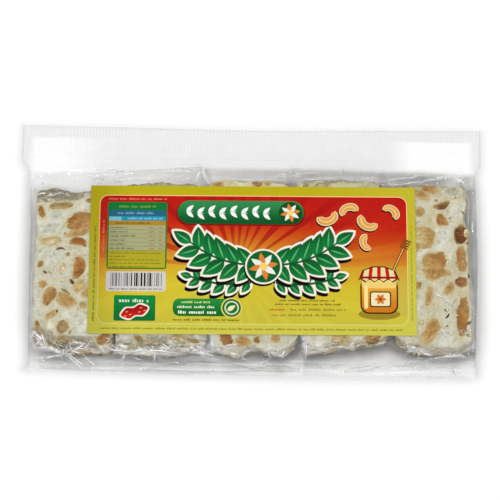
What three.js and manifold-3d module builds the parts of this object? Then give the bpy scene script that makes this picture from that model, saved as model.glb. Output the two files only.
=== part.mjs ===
// A sealed clear bag that holds five nougat bars side by side under a printed label.
// Millimetres. X runs along the row of bars, Y from the foot of the bag to its header, Z up.
// The origin is the middle of the footprint, on the surface that the bag lies on.

import * as THREE from 'three';
import { mergeVertices } from 'three/addons/utils/BufferGeometryUtils.js';
import Module from 'manifold-3d';

const wasm = await Module();
wasm.setup();

// ---------------------------------------------------------------- driving dimensions

const HEADER_WIDTH = 230;         // the flat flap at the head of the bag
const FOOT_Y = -64.4;             // lowest point of the bag's bottom edge
const HEAD_Y = 64.4;              // highest point of the flap's edge
const FILM = 0.8;                 // two layers of film and the air between them, lying flat
const GAP_FILM_Z = 5.2;           // the film across the gap between two bars
const EDGE_FILM_Z = 1.6;          // the film beside the outer wall of the first or last bar
const POUCH_HEAD_Y = 41.5;        // the crease where the pouch ends and the flap begins
const HEADER_FOOT_Y = 47;         // the flap is at its full width from here up

// The sides of the pouch are drawn in by the thickness of the bars.
const POUCH_SIDES = {
  left: { head: -110.6, middle: -108.8, foot: -107.4 },
  right: { head: 111.8, middle: 112.6, foot: 110.4 },
};

// The heat seal: two crimped bands across the flap, standing a little proud of it.
const SEAL_RISE = 0.4;
const SEAL_RAMP = 0.4;
const SEAL_BANDS = [
  { inner: 50.4, outer: 57.2 },
  { inner: 58.4, outer: 63.2 },
];

// Each bar, from left to right. `sides` are its left and right edge at the foot and at the head.
// `foot` is the line of its foot on the table, `brow` the lower edge of its top face, and `head`
// its upper end: each is a row of Y values, evenly spaced across the bar from left to right.
const BARS = [
  {
    sides: { foot: [-105.9, -66.2], head: [-106.6, -67.6] },
    foot: [-54.5, -56.6, -57.2, -57.0, -57.0],
    brow: [-42.6, -46.2, -48.4, -48.6, -48.2],
    head: [27.6, 28.2, 26.2, 28.0, 27.8],
    thickness: 9.4,
  },
  {
    sides: { foot: [-64.2, -20.4], head: [-63.8, -24.6] },
    foot: [-57.0, -57.6, -57.2, -57.2, -56.2],
    brow: [-48.2, -46.8, -47.4, -46.4, -47.0],
    head: [31.4, 32.0, 32.2, 31.8, 31.4],
    thickness: 9.2,
  },
  {
    sides: { foot: [-17.0, 25.6], head: [-21.2, 17.8] },
    foot: [-53.6, -56.2, -52.8, -54.2, -50.4],
    brow: [-51.2, -54.0, -50.6, -52.2, -47.6],
    head: [33.2, 34.6, 34.0, 34.6, 34.2],
    thickness: 9.6,
  },
  {
    sides: { foot: [28.0, 68.6], head: [21.4, 64.2] },
    foot: [-55.6, -54.0, -52.2, -50.8, -49.4],
    brow: [-53.2, -51.6, -49.8, -48.2, -46.8],
    head: [34.0, 34.8, 35.2, 35.0, 34.2],
    thickness: 9.7,
  },
  {
    sides: { foot: [71.2, 109.4], head: [67.4, 106.8] },
    foot: [-50.4, -53.4, -54.2, -54.8, -51.8],
    brow: [-47.8, -50.8, -51.8, -52.4, -49.4],
    head: [31.8, 32.6, 33.0, 32.6, 31.6],
    thickness: 9.5,
  },
];

// A shallow bite out of the right-hand edge of the last bar.
const NOTCH = { y: 14.6, halfLength: 5.2, depth: 1.8 };

// The walls of a bar, from its side or its end inwards: how far in, and how much of its height.
const WALL_INSETS = [0, 0.7, 1.9, 4.2];
const WALL_HEIGHTS = [0, 0.74, 0.94, 1];
const CORNER_RADIUS = 3.2;

// The label, a card under the film. It lies in a seat in the bag's upper face.
const LABEL = { x: 1.3, y: -8.7, width: 159.2, height: 75.3, thickness: 0.6, turn: 0.4 };
const LABEL_TOP_Z = 10.1;
const SEAT_Z = 9.9;               // the film round the label's edge
const SEAT_MARGIN = 1.2;
const SEAT_ROOT_Z = 4;            // how deep the seat reaches into the bars
const CLEARANCE = 0.3;            // between the label and its seat

const INNER_ROWS = 8;             // rows of points over a bar's top face
const INNER_COLUMNS = [0.2, 0.35, 0.5, 0.65, 0.8];
const RELIEF = 0.4;               // how far a bar's top face rises and dips

// ---------------------------------------------------------------- small helpers

const lerp = THREE.MathUtils.lerp;
const smoothstep = THREE.MathUtils.smoothstep;

// The value at `u`, 0 to 1, on a smooth line through a row of evenly spaced values.
function along(values, u) {
  const place = THREE.MathUtils.clamp(u, 0, 1) * (values.length - 1);
  const index = Math.min(Math.floor(place), values.length - 2);
  return lerp(values[index], values[index + 1], smoothstep(place, index, index + 1));
}

// Slow rises and dips of about one unit, the same on every run.
function unevenness(x, y) {
  return (
    0.5 * Math.sin(x * 0.31 + y * 0.17 + 1.3)
    + 0.3 * Math.sin(x * 0.13 - y * 0.29 + 4.1)
    + 0.2 * Math.sin(x * 0.57 + y * 0.43 + 2.2)
  );
}

// How far a rounded corner draws an end back, at a distance in from the side.
function cornerSetback(inset) {
  if (inset >= CORNER_RADIUS) return 0;
  const reach = 1 - Math.max(inset, 0) / CORNER_RADIUS;
  return CORNER_RADIUS * (1 - Math.sqrt(1 - reach * reach));
}

// ---------------------------------------------------------------- the bag's plan

function pouchSide({ head, middle, foot }, y) {
  const middleY = 0;
  if (y > middleY) return lerp(middle, head, smoothstep(y, middleY, POUCH_HEAD_Y));
  return lerp(foot, middle, smoothstep(y, FOOT_Y, middleY));
}

function bagSide(side, y) {
  const widening = smoothstep(y, POUCH_HEAD_Y - 3, HEADER_FOOT_Y);
  const headerX = Math.sign(side.middle) * HEADER_WIDTH / 2;
  return lerp(pouchSide(side, y), headerX, widening);
}

function bagFootY(x) {
  const fullness = 1 - ((x - 30) / 150) ** 2;
  return lerp(FOOT_Y + 2.8, FOOT_Y, THREE.MathUtils.clamp(fullness, 0, 1));
}

function bagHeadY(x) {
  return HEAD_Y - 1.2 * Math.cos((x / HEADER_WIDTH) * Math.PI) ** 2;
}

function barSides(bar, y) {
  const rise = (y - FOOT_Y) / (POUCH_HEAD_Y - FOOT_Y);
  const left = lerp(bar.sides.foot[0], bar.sides.head[0], rise);
  let right = lerp(bar.sides.foot[1], bar.sides.head[1], rise);
  if (bar === BARS.at(-1)) {
    const offset = Math.abs(y - NOTCH.y) / NOTCH.halfLength;
    right -= NOTCH.depth * Math.max(0, 1 - offset * offset);
  }
  return [left, right];
}

// ---------------------------------------------------------------- columns and rows of points

// A column lies over one bar at a fraction of its width, in the gap between two bars, or in the
// margin beside the first or last bar. Over a bar it has its distance in from the nearest side
// wall, and the share of the bar's height that the wall has reached there.
function makeColumns() {
  const columns = [
    { place: 'margin', side: POUCH_SIDES.left, bar: BARS[0], across: 0, share: 0 },
    { place: 'margin', side: POUCH_SIDES.left, bar: BARS[0], across: 0, share: 0.6 },
  ];
  BARS.forEach((bar, index) => {
    const width = bar.sides.foot[1] - bar.sides.foot[0];
    const nearWall = WALL_INSETS.map((inset, step) => (
      { place: 'bar', bar, across: inset / width, inset, height: WALL_HEIGHTS[step] }
    ));
    const inner = INNER_COLUMNS.map((across) => (
      { place: 'bar', bar, across, inset: width, height: 1 }
    ));
    const farWall = nearWall.toReversed().map((column) => (
      { ...column, across: 1 - column.across }
    ));
    columns.push(...nearWall, ...inner, ...farWall);
    const next = BARS[index + 1];
    if (next) columns.push({ place: 'gap', bar, next, across: 1 });
  });
  columns.push(
    { place: 'margin', side: POUCH_SIDES.right, bar: BARS.at(-1), across: 1, share: 0.6 },
    { place: 'margin', side: POUCH_SIDES.right, bar: BARS.at(-1), across: 1, share: 0 },
  );
  return columns;
}

function columnX(column, y) {
  const [left, right] = barSides(column.bar, y);
  if (column.place === 'bar') return lerp(left, right, column.across);
  if (column.place === 'gap') return (right + barSides(column.next, y)[0]) / 2;
  const wall = column.across === 0 ? left : right;
  return lerp(bagSide(column.side, y), wall, column.share);
}

// The Y of a bar's foot, brow or head line at a column, with the bar's corners rounded.
function lineY(column, line, inward) {
  const own = along(column.bar[line], column.across);
  if (column.place === 'gap') return (own + along(column.next[line], 0)) / 2;
  if (column.place === 'margin') return own;
  return own + inward * cornerSetback(column.inset);
}

// A row has its Y at a column, and how far the bars rise there, from 0 to 1.
function makeRows() {
  const foot = (column) => lineY(column, 'foot', 1);
  const brow = (column) => lineY(column, 'brow', 1);
  const head = (column) => lineY(column, 'head', -1);
  const footEdge = (column) => bagFootY(columnX(column, FOOT_Y));
  const rows = [
    { y: footEdge, rise: 0 },
    { y: (c) => lerp(footEdge(c), foot(c), 0.5), rise: 0.03 },
    { y: foot, rise: 0.06 },
    { y: (c) => lerp(foot(c), brow(c), 0.35), rise: 0.52 },
    { y: (c) => lerp(foot(c), brow(c), 0.8), rise: 0.9 },
    { y: (c) => brow(c) + 1, rise: 0.98 },
  ];
  const topStart = (c) => brow(c) + WALL_INSETS.at(-1);
  const topEnd = (c) => head(c) - WALL_INSETS.at(-1);
  for (let index = 0; index <= INNER_ROWS; index += 1) {
    rows.push({ y: (c) => lerp(topStart(c), topEnd(c), index / INNER_ROWS), rise: 1 });
  }
  rows.push(
    { y: (c) => head(c) - WALL_INSETS[2], rise: WALL_HEIGHTS[2] },
    { y: (c) => head(c) - WALL_INSETS[1], rise: 0.84 },
    { y: (c) => head(c) + 0.6, rise: 0.5 },
    { y: (c) => lerp(head(c), POUCH_HEAD_Y, 0.5), rise: 0.24 },
    { y: () => POUCH_HEAD_Y, rise: 0.07 },
    { y: () => HEADER_FOOT_Y, rise: 0 },
  );
  for (const band of SEAL_BANDS) {
    rows.push(
      { y: () => band.inner - SEAL_RAMP, rise: 0 },
      { y: () => band.inner, rise: 0, seal: true },
      { y: () => band.outer - SEAL_RAMP, rise: 0, seal: true },
      { y: () => band.outer, rise: 0 },
    );
  }
  rows.push({ y: (c) => bagHeadY(columnX(c, HEAD_Y)), rise: 0 });
  return rows;
}

// How high the film is beside a bar: at the outer walls of the first and last bar it comes down
// to the bag's edge, and elsewhere it spans the gap to the next bar.
function filmLevel({ place, bar, across }) {
  const beyondFirst = bar === BARS[0] && across < 0.5;
  const beyondLast = bar === BARS.at(-1) && across > 0.5;
  if (place === 'margin' || beyondFirst || beyondLast) return EDGE_FILM_Z;
  return GAP_FILM_Z;
}

function pointAt(column, row) {
  const y = row.y(column);
  const x = columnX(column, y);
  const low = lerp(FILM, filmLevel(column), row.rise);
  const high = column.bar.thickness + RELIEF * unevenness(x, y);
  const z = lerp(low, lerp(low, high, row.rise), column.height ?? 0);
  return new THREE.Vector3(x, y, row.seal ? z + SEAL_RISE : z);
}

// ---------------------------------------------------------------- solids

// A closed solid with a bumpy upper face and a flat underside at z = 0, from a lattice of points.
function reliefGeometry(lattice) {
  const rowCount = lattice.length;
  const columnCount = lattice[0].length;
  const positions = lattice.flat().flatMap((point) => [point.x, point.y, point.z]);
  const index = [];
  const at = (row, column) => row * columnCount + column;
  for (let row = 0; row < rowCount - 1; row += 1) {
    for (let column = 0; column < columnCount - 1; column += 1) {
      const corners = [
        at(row, column), at(row, column + 1), at(row + 1, column + 1), at(row + 1, column),
      ];
      index.push(corners[0], corners[1], corners[2], corners[0], corners[2], corners[3]);
    }
  }
  const rim = [];
  for (let column = 0; column < columnCount; column += 1) rim.push(at(0, column));
  for (let row = 1; row < rowCount; row += 1) rim.push(at(row, columnCount - 1));
  for (let column = columnCount - 2; column >= 0; column -= 1) rim.push(at(rowCount - 1, column));
  for (let row = rowCount - 2; row > 0; row -= 1) rim.push(at(row, 0));
  const firstBelow = positions.length / 3;
  for (const vertex of rim) positions.push(positions[3 * vertex], positions[3 * vertex + 1], 0);
  rim.forEach((vertex, place) => {
    const next = (place + 1) % rim.length;
    index.push(vertex, firstBelow + place, firstBelow + next);
    index.push(vertex, firstBelow + next, rim[next]);
  });
  const outline = rim.map((vertex) => (
    new THREE.Vector2(positions[3 * vertex], positions[3 * vertex + 1])
  ));
  for (const [a, b, c] of THREE.ShapeUtils.triangulateShape(outline, [])) {
    index.push(firstBelow + a, firstBelow + c, firstBelow + b);
  }
  const geometry = new THREE.BufferGeometry();
  geometry.setAttribute('position', new THREE.Float32BufferAttribute(positions, 3));
  geometry.setIndex(index);
  return geometry;
}

// A plate round the label's place: `grow` wider all round than the label, between two heights.
function labelPlate(grow, bottomZ, topZ) {
  const plate = new THREE.BoxGeometry(
    LABEL.width + 2 * grow,
    LABEL.height + 2 * grow,
    topZ - bottomZ,
  );
  plate.rotateZ(THREE.MathUtils.degToRad(LABEL.turn));
  plate.translate(LABEL.x, LABEL.y, (bottomZ + topZ) / 2);
  return plate;
}

function toSolid(geometry) {
  const bare = geometry.clone();
  bare.deleteAttribute('normal');
  bare.deleteAttribute('uv');
  const merged = mergeVertices(bare, 1e-4);
  return new wasm.Manifold(new wasm.Mesh({
    numProp: 3,
    vertProperties: new Float32Array(merged.attributes.position.array),
    triVerts: new Uint32Array(merged.index.array),
  }));
}

function toGeometry(solid) {
  const { vertProperties, triVerts } = solid.getMesh();
  const geometry = new THREE.BufferGeometry();
  geometry.setAttribute('position', new THREE.BufferAttribute(vertProperties, 3));
  geometry.setIndex(new THREE.BufferAttribute(triVerts, 1));
  geometry.computeVertexNormals();
  return geometry;
}

function bagGeometry() {
  const columns = makeColumns();
  const lattice = makeRows().map((row) => columns.map((column) => pointAt(column, row)));
  const labelBottomZ = LABEL_TOP_Z - LABEL.thickness;
  const seat = labelPlate(SEAT_MARGIN, SEAT_ROOT_Z, SEAT_Z);
  const recess = labelPlate(CLEARANCE, labelBottomZ - CLEARANCE, LABEL_TOP_Z + 2);
  const bag = toSolid(reliefGeometry(lattice)).add(toSolid(seat)).subtract(toSolid(recess));
  return toGeometry(bag);
}

// ---------------------------------------------------------------- the object

function namedMesh(name, geometry, color, roughness) {
  const material = new THREE.MeshStandardMaterial({ color, roughness, metalness: 0 });
  const mesh = new THREE.Mesh(geometry, material);
  mesh.name = name;
  return mesh;
}

const nougatPack = new THREE.Group();
nougatPack.add(
  namedMesh('bag', bagGeometry(), 0xd2cebd, 0.3),
  namedMesh('label', labelPlate(0, LABEL_TOP_Z - LABEL.thickness, LABEL_TOP_Z), 0xc9a42f, 0.5),
);

export default nougatPack;
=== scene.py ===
"""A sealed clear bag of five nougat bars under a printed label, dressed round its CAD frame.

Lengths in this script are millimetres in the frame of the CAD part, and MM turns them to metres.
"""
import math

import bpy
import numpy as np
from mathutils import Matrix, Vector
from mathutils.bvhtree import BVHTree
from mathutils.geometry import delaunay_2d_cdt


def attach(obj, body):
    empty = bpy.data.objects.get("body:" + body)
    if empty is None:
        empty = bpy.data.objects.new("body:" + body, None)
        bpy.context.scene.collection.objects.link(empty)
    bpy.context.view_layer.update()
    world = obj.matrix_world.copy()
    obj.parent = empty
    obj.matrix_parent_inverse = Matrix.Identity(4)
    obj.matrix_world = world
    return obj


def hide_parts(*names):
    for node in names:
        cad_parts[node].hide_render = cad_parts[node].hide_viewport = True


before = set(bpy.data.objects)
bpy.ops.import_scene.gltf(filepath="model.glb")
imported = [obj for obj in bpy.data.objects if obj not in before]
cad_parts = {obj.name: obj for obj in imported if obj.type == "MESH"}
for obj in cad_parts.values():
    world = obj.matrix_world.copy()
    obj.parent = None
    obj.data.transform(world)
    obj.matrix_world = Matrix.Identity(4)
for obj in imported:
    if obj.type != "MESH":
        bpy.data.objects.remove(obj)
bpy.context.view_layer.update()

MM = 0.001
BODY = "root"

# ------------------------------------------------------------------ driving dimensions

# Each bar from left to right: its sides at the foot and head of the bag, the line of its foot on
# the table, the lower and upper edges of its top face, its upper end, and its height.
BARS = [
    dict(foot_x=(-105.7, -65.3), head_x=(-106.4, -67.4),
         foot=(-49.4, -54.4, -55.4, -55.2, -55.2), brow=(-41.8, -46.4, -48.6, -48.8, -48.4),
         crown=(21.6, 22.0, 23.0, 27.0, 27.4), head=(30.2, 30.6, 28.8, 29.6, 29.4), height=9.3),
    dict(foot_x=(-64.8, -18.9), head_x=(-63.6, -24.8),
         foot=(-55.2, -55.8, -55.4, -55.4, -54.4), brow=(-48.4, -47.0, -47.8, -46.8, -47.4),
         crown=(30.6, 31.4, 31.6, 31.2, 30.6), head=(31.6, 32.2, 32.4, 32.0, 31.4), height=9.2),
    dict(foot_x=(-18.2, 26.2), head_x=(-21.0, 17.6),
         foot=(-52.4, -55.2, -52.8, -55.6, -49.8), brow=(-51.2, -54.0, -51.8, -54.6, -48.4),
         crown=(32.6, 33.8, 33.2, 33.8, 33.2), head=(33.2, 34.6, 34.0, 34.6, 34.2), height=9.3),
    dict(foot_x=(27.3, 68.8), head_x=(21.6, 64.0),
         foot=(-54.4, -52.8, -51.0, -49.6, -48.0), brow=(-53.2, -51.6, -49.8, -48.2, -46.8),
         crown=(33.2, 34.0, 34.4, 34.2, 33.4), head=(34.0, 34.8, 35.2, 35.0, 34.2), height=9.4),
    dict(foot_x=(71.4, 109.2), head_x=(67.6, 106.6),
         foot=(-49.4, -52.6, -53.6, -54.0, -51.0), brow=(-47.8, -51.0, -51.8, -52.4, -49.4),
         crown=(31.2, 32.0, 32.4, 31.8, 30.6), head=(31.8, 32.6, 33.0, 32.6, 31.6), height=9.3),
]
NOTCH = dict(y=14.6, half=5.2, depth=1.7)      # a bite out of the last bar's right-hand side
PLAN_RADIUS = 3.4                              # a bar's corners seen from above
EDGE_RADIUS = 1.1                              # a bar's edges seen from its end
BAR_LENGTH = 86.0
FINE = 0.5                                     # how far apart a bar's points are where it shows
UNDER_LABEL = 1.6                              # and where the label covers it

LABEL = dict(x=1.3, y=-8.2, half_width=80.0, half_height=38.0, turn=0.4, z=9.92)

FOOT_Y = -64.4
HEAD_Y = 64.4
CREASE_Y = 41.5                                # where the pouch ends and the flat flap begins
LOOSE_FOOT = (-56.0, -49.0)                    # the film is loose below these lines,
LOOSE_HEAD = (31.0, 35.0)                      # above these, up to the flap,
LOOSE_SIDE = (2.0, 5.0)                        # and this near to the bag's sides
FLAP_Y = 47.0
HEADER_HALF = 115.0
SEAL_BANDS = [(50.4, 57.2), (58.4, 63.2)]
SEAL_EDGE = 0.35                               # how far the edge of a seal band slopes
RIB_PITCH = 1.59                               # the crimped ribs across the seal bands
RIB_HEIGHT = 0.24

# The camera: 72 degrees up from in front, and a frame 245 mm wide at the label.
CAMERA = dict(target=(0.0, -3.2, 10.0), distance=1100.0, elevation=72.0, roll=0.8, frame_width=245.0)
SENSOR = 36.0

VEIL = 0.008                                   # linear light that the film adds to what is under it
ABOVE = 30.0                                   # rays that look for a surface start this high up
TALLEST_FOLD = 10.45                           # how high any fold stands above the table
LOWEST_NUT = 0.16                              # nuts on an underside stay above the film below them
NUT_RIM = 0.35                                 # how far a nut's smeared rim lies outside its size
NUT_ROOT = (1.3, 1.9)                          # how deep its sides and its lowest point go
NUT_RAY_START, NUT_RAY = 6.0, 11.0             # its points are found by rays this long from that high
HALO_REACH = 1.3                               # how far the cream ring round a nut reaches
HALO_SHARE = 0.8


# ------------------------------------------------------------------ small helpers

def lerp(a, b, t):
    return a + (b - a) * t


def smoothstep(x, low, high):
    t = np.clip((x - low) / (high - low), 0.0, 1.0)
    return t * t * (3.0 - 2.0 * t)


def along(values, u):
    """The value at u, 0 to 1, on a smooth line through a row of evenly spaced values."""
    values = np.asarray(values, float)
    place = np.clip(u, 0.0, 1.0) * (len(values) - 1)
    index = np.minimum(place.astype(int), len(values) - 2)
    t = place - index
    t = t * t * (3.0 - 2.0 * t)
    return values[index] * (1 - t) + values[index + 1] * t


def noise(x, y, size, seed):
    """Smooth value noise from -1 to 1 with features of that size."""
    table = np.random.RandomState(seed).uniform(-1, 1, (128, 128))
    x, y = np.asarray(x) / size, np.asarray(y) / size
    i, j = np.floor(x).astype(int), np.floor(y).astype(int)
    u, v = x - i, y - j
    u, v = u * u * (3 - 2 * u), v * v * (3 - 2 * v)
    a, b = table[i % 128, j % 128], table[(i + 1) % 128, j % 128]
    c, d = table[i % 128, (j + 1) % 128], table[(i + 1) % 128, (j + 1) % 128]
    return lerp(lerp(a, b, u), lerp(c, d, u), v)


def noise3(p, size, seed):
    """The same on points in space."""
    x, y, z = p[:, 0], p[:, 1], p[:, 2]
    mixed = noise(x + 0.7 * z, y, size, seed) + noise(y, z + 0.4 * x, size, seed + 1)
    return (mixed + noise(z, x - 0.6 * y, size, seed + 2)) / 1.8


def linear(rgb):
    """8-bit sRGB to the linear colour that Blender works in."""
    c = np.asarray(rgb, float) / 255.0
    return np.where(c <= 0.04045, c / 12.92, ((c + 0.055) / 1.055) ** 2.4)


def new_object(name, points, faces, smooth=True):
    """A mesh object from points in millimetres."""
    mesh = bpy.data.meshes.new(name)
    mesh.from_pydata((np.asarray(points) * MM).tolist(), [], [list(map(int, f)) for f in faces])
    mesh.polygons.foreach_set("use_smooth", [smooth] * len(mesh.polygons))
    mesh.update()
    piece = bpy.data.objects.new(name, mesh)
    bpy.context.scene.collection.objects.link(piece)
    return piece


def paint(piece, name, colours, domain="POINT"):
    """Stores a linear colour for each point or corner."""
    layer = piece.data.color_attributes.new(name, "FLOAT_COLOR", domain)
    rgba = np.ones((len(colours), 4), np.float32)
    rgba[:, :3] = colours
    layer.data.foreach_set("color", rgba.ravel())


def mark_points(piece, name, values):
    """Stores a number for each point."""
    layer = piece.data.attributes.new(name, "FLOAT", "POINT")
    layer.data.foreach_set("value", np.asarray(values, np.float32))


def grid_faces(rows, columns):
    r, c = np.meshgrid(np.arange(rows - 1), np.arange(columns - 1), indexing="ij")
    a = (r * columns + c).ravel()
    return np.stack([a, a + 1, a + 1 + columns, a + columns], 1)


def as_points(x, y, z):
    """The points of a grid, row by row."""
    return np.stack([x.ravel(), y.ravel(), z.ravel()], 1)


def tree_of(points, faces):
    return BVHTree.FromPolygons([Vector(p) for p in points], [list(map(int, f)) for f in faces])


def look_down(tree, x, y):
    """Where a ray that falls on a tree hits it, or None."""
    return tree.ray_cast(Vector((x, y, ABOVE)), Vector((0, 0, -1)))[0]


# ------------------------------------------------------------------ the nougat bars

def ticks(length, fine, coarse, band):
    """Distances from 0 to length: fine steps within a band of each end, and coarse between."""
    if fine >= coarse or length <= 2 * band:
        return np.linspace(0, length, max(2, round(length / fine)) + 1)
    near = np.linspace(0, band, round(band / fine) + 1)
    middle = np.linspace(band, length - band, round((length - 2 * band) / coarse) + 1)
    return np.concatenate([near, middle[1:-1], length - near[::-1]])


def box_surface(rows):
    """Points and outward faces of a box from the origin, with a grid line at each row's ticks."""
    points, faces = [], []
    for axis in range(3):
        u, v = (axis + 1) % 3, (axis + 2) % 3
        for end in (0, 1):
            i, j = np.meshgrid(rows[u], rows[v], indexing="ij")
            p = np.zeros((i.size, 3))
            p[:, u] = i.ravel()
            p[:, v] = j.ravel()
            p[:, axis] = end * rows[axis][-1]
            f = grid_faces(len(rows[u]), len(rows[v]))
            f = f if end else f[:, ::-1]
            faces.append(f + sum(len(q) for q in points))
            points.append(p)
    points, faces = np.concatenate(points), np.concatenate(faces)
    _, first, back = np.unique(np.round(points, 4), axis=0, return_index=True, return_inverse=True)
    return points[first], back.ravel()[faces]


def from_edge(box, size):
    """How far each point of a box is from its nearest edge, seen from above."""
    return np.minimum(box[:, :2], np.array(size[:2]) - box[:, :2]).min(1)


def to_circle(a, b):
    """The scale that brings points of a square onto the circle in it."""
    length = np.hypot(a, b)
    return np.where(length > 1e-9, np.maximum(abs(a), abs(b)) / np.maximum(length, 1e-9), 1.0)


def rounded(p, size):
    """Rounds the corners of a box in plan and then its upper and lower edges."""
    x, y, z = p.T
    inner_x = np.clip(x, PLAN_RADIUS, size[0] - PLAN_RADIUS)
    inner_y = np.clip(y, PLAN_RADIUS, size[1] - PLAN_RADIUS)
    dx, dy = x - inner_x, y - inner_y
    scale = to_circle(dx, dy)
    rx, ry = inner_x + dx * scale, inner_y + dy * scale
    inset = from_edge(p, size)
    inner_inset = np.maximum(inset, EDGE_RADIUS)
    inner_z = np.clip(z, EDGE_RADIUS, size[2] - EDGE_RADIUS)
    di, dz = inset - inner_inset, z - inner_z
    scale = to_circle(di, dz)
    shift = inner_inset + di * scale - inset
    corner = np.hypot(rx - inner_x, ry - inner_y) > 1e-9
    from_side = np.where(np.minimum(x, size[0] - x) <= inset, size[0] / 2 - x, 0)
    from_end = np.where(np.minimum(y, size[1] - y) <= inset, size[1] / 2 - y, 0)
    toward_x = np.where(corner, inner_x - rx, from_side)
    toward_y = np.where(corner, inner_y - ry, from_end)
    length = np.maximum(np.hypot(toward_x, toward_y), 1e-9)
    return np.stack([rx + shift * toward_x / length, ry + shift * toward_y / length,
                     inner_z + dz * scale], 1)


def in_plan(bar, u, v, w):
    """Millimetres from a bar's own fractions: across, along, and up."""
    low = lerp(along(bar["foot"], u), along(bar["brow"], u), w)
    high = lerp(along(bar["head"], u), along(bar["crown"], u), w)
    y = lerp(low, high, v)
    rise = (y - FOOT_Y) / (CREASE_Y - FOOT_Y)
    left = lerp(bar["foot_x"][0], bar["head_x"][0], rise)
    right = lerp(bar["foot_x"][1], bar["head_x"][1], rise)
    if bar is BARS[-1]:
        right = right - NOTCH["depth"] * np.clip(1 - ((y - NOTCH["y"]) / NOTCH["half"]) ** 2, 0, 1)
    return np.stack([lerp(left, right, u), y, w * bar["height"]], 1)


def bar_shape(index, bar):
    """Points, faces and colours of one bar, lumpy on its faces and ragged at its ends."""
    width = bar["foot_x"][1] - bar["foot_x"][0]
    size = (width, BAR_LENGTH, bar["height"])
    bare = index in (0, len(BARS) - 1)
    along_y = ticks(BAR_LENGTH, FINE, FINE if bare else UNDER_LABEL, 11.0)
    across_x = ticks(width, FINE, FINE, 4.0)
    box, faces = box_surface([across_x, along_y, ticks(bar["height"], FINE, FINE, 1.0)])
    fractions = rounded(box, size) / np.array(size)
    points = in_plan(bar, *fractions.T)
    seed = 100 + 20 * index
    edge = from_edge(box, size)
    ends = 1 - smoothstep(np.minimum(box[:, 1], size[1] - box[:, 1]), 0.0, 5.0)
    sides = 1 - smoothstep(edge, 0.0, 3.0)
    lumps = 0.26 * noise3(points, 9.0, seed) + 0.20 * noise3(points, 3.2, seed + 3)
    fine = 0.13 * noise3(points, 1.5, seed + 6)
    ragged = 0.75 * noise3(points, 4.0, seed + 9) + 0.42 * noise3(points, 1.7, seed + 12)
    pits = -0.9 * np.clip(noise3(points, 1.7, seed + 15) - 0.42, 0, 1)
    amount = lumps + fine + pits + ragged * (ends + 0.55 * sides)
    core = np.clip(fractions, (0.12, 0.06, 0.5), (0.88, 0.94, 0.5))
    outward = points - in_plan(bar, *core.T)
    outward[:, 2] *= 1.4
    outward /= np.maximum(np.linalg.norm(outward, axis=1), 1e-6)[:, None]
    on_face = (edge > 2.0)[:, None]
    up = np.where(fractions[:, 2:3] > 0.5, 1.0, -1.0) * np.array([[0, 0, 1.0]])
    outward = np.where(on_face & (abs(fractions[:, 2:3] - 0.5) > 0.45), up, outward)
    points = points + outward * amount[:, None]
    points[:, 2] = np.clip(points[:, 2], 0.25, LABEL["z"] - 0.12)
    return points, faces, nougat_tint(index, points, box, fractions, size)


# Colours of nougat: most of it, its whiter, greener, damper and yellower patches, its sides, its
# toasted ends with their crust and their creamy ground, the ring round a nut, a dark line that
# is painted shade along upper edges and low on the sides and also makes dark specks, rough broken
# places, painted shade on the long sides, and grooves.
NOUGAT = dict(
    body=(204, 205, 193), white=(223, 223, 213), green=(189, 192, 171), damp=(164, 168, 149),
    yellow=(195, 182, 140), side=(204, 196, 168), toast=(170, 144, 108), crust=(128, 112, 84),
    fat=(208, 198, 168), halo=(192, 178, 134), line=(112, 104, 80), rough=(120, 121, 106),
    side_shade=(160, 158, 136), groove=(104, 84, 56),
)

# How the bars differ from left to right. All over: how yellow, and a factor on the colour. At the
# foot: how toasted, how bright and dark its streaks, how grooved, how creamy and how grainy. At the
# head: how much darker (with the blue a little more so) and how cracked.
LOOKS = [
    dict(yellow=0.36, warm=(1, 1, 1), toasted=0.9, bright=0.35, dark=0.9, grooved=1.0, creamy=0,
         grain=0.40, dimmed=(0, 0, 0), cracked=0),
    dict(yellow=0.48, warm=(1, 1, 1), toasted=0.34, bright=1.0, dark=0.3, grooved=0.6, creamy=0.6,
         grain=0.40, dimmed=(0.19, 0.19, 0.28), cracked=0.7),
    dict(yellow=0.48, warm=(1, 1, 1), toasted=0.14, bright=0.9, dark=0.2, grooved=0.2, creamy=0.6,
         grain=0.30, dimmed=(-0.06, -0.06, 0.03), cracked=0.2),
    dict(yellow=0.48, warm=(1, 1, 1), toasted=0.25, bright=0.6, dark=0.5, grooved=0.6, creamy=0,
         grain=0.30, dimmed=(0.06, 0.06, 0.15), cracked=1.0),
    dict(yellow=0.48, warm=(0.985, 0.980, 0.970), toasted=0.7, bright=0.3, dark=0.7, grooved=0.9,
         creamy=0, grain=0.30, dimmed=(0.19, 0.19, 0.28), cracked=0.6),
]


def blend(under, name, share):
    """Mixes one of the nougat's colours into a list of colours."""
    return lerp(under, np.array(NOUGAT[name], float), np.clip(share, 0, 1)[:, None])


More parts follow.
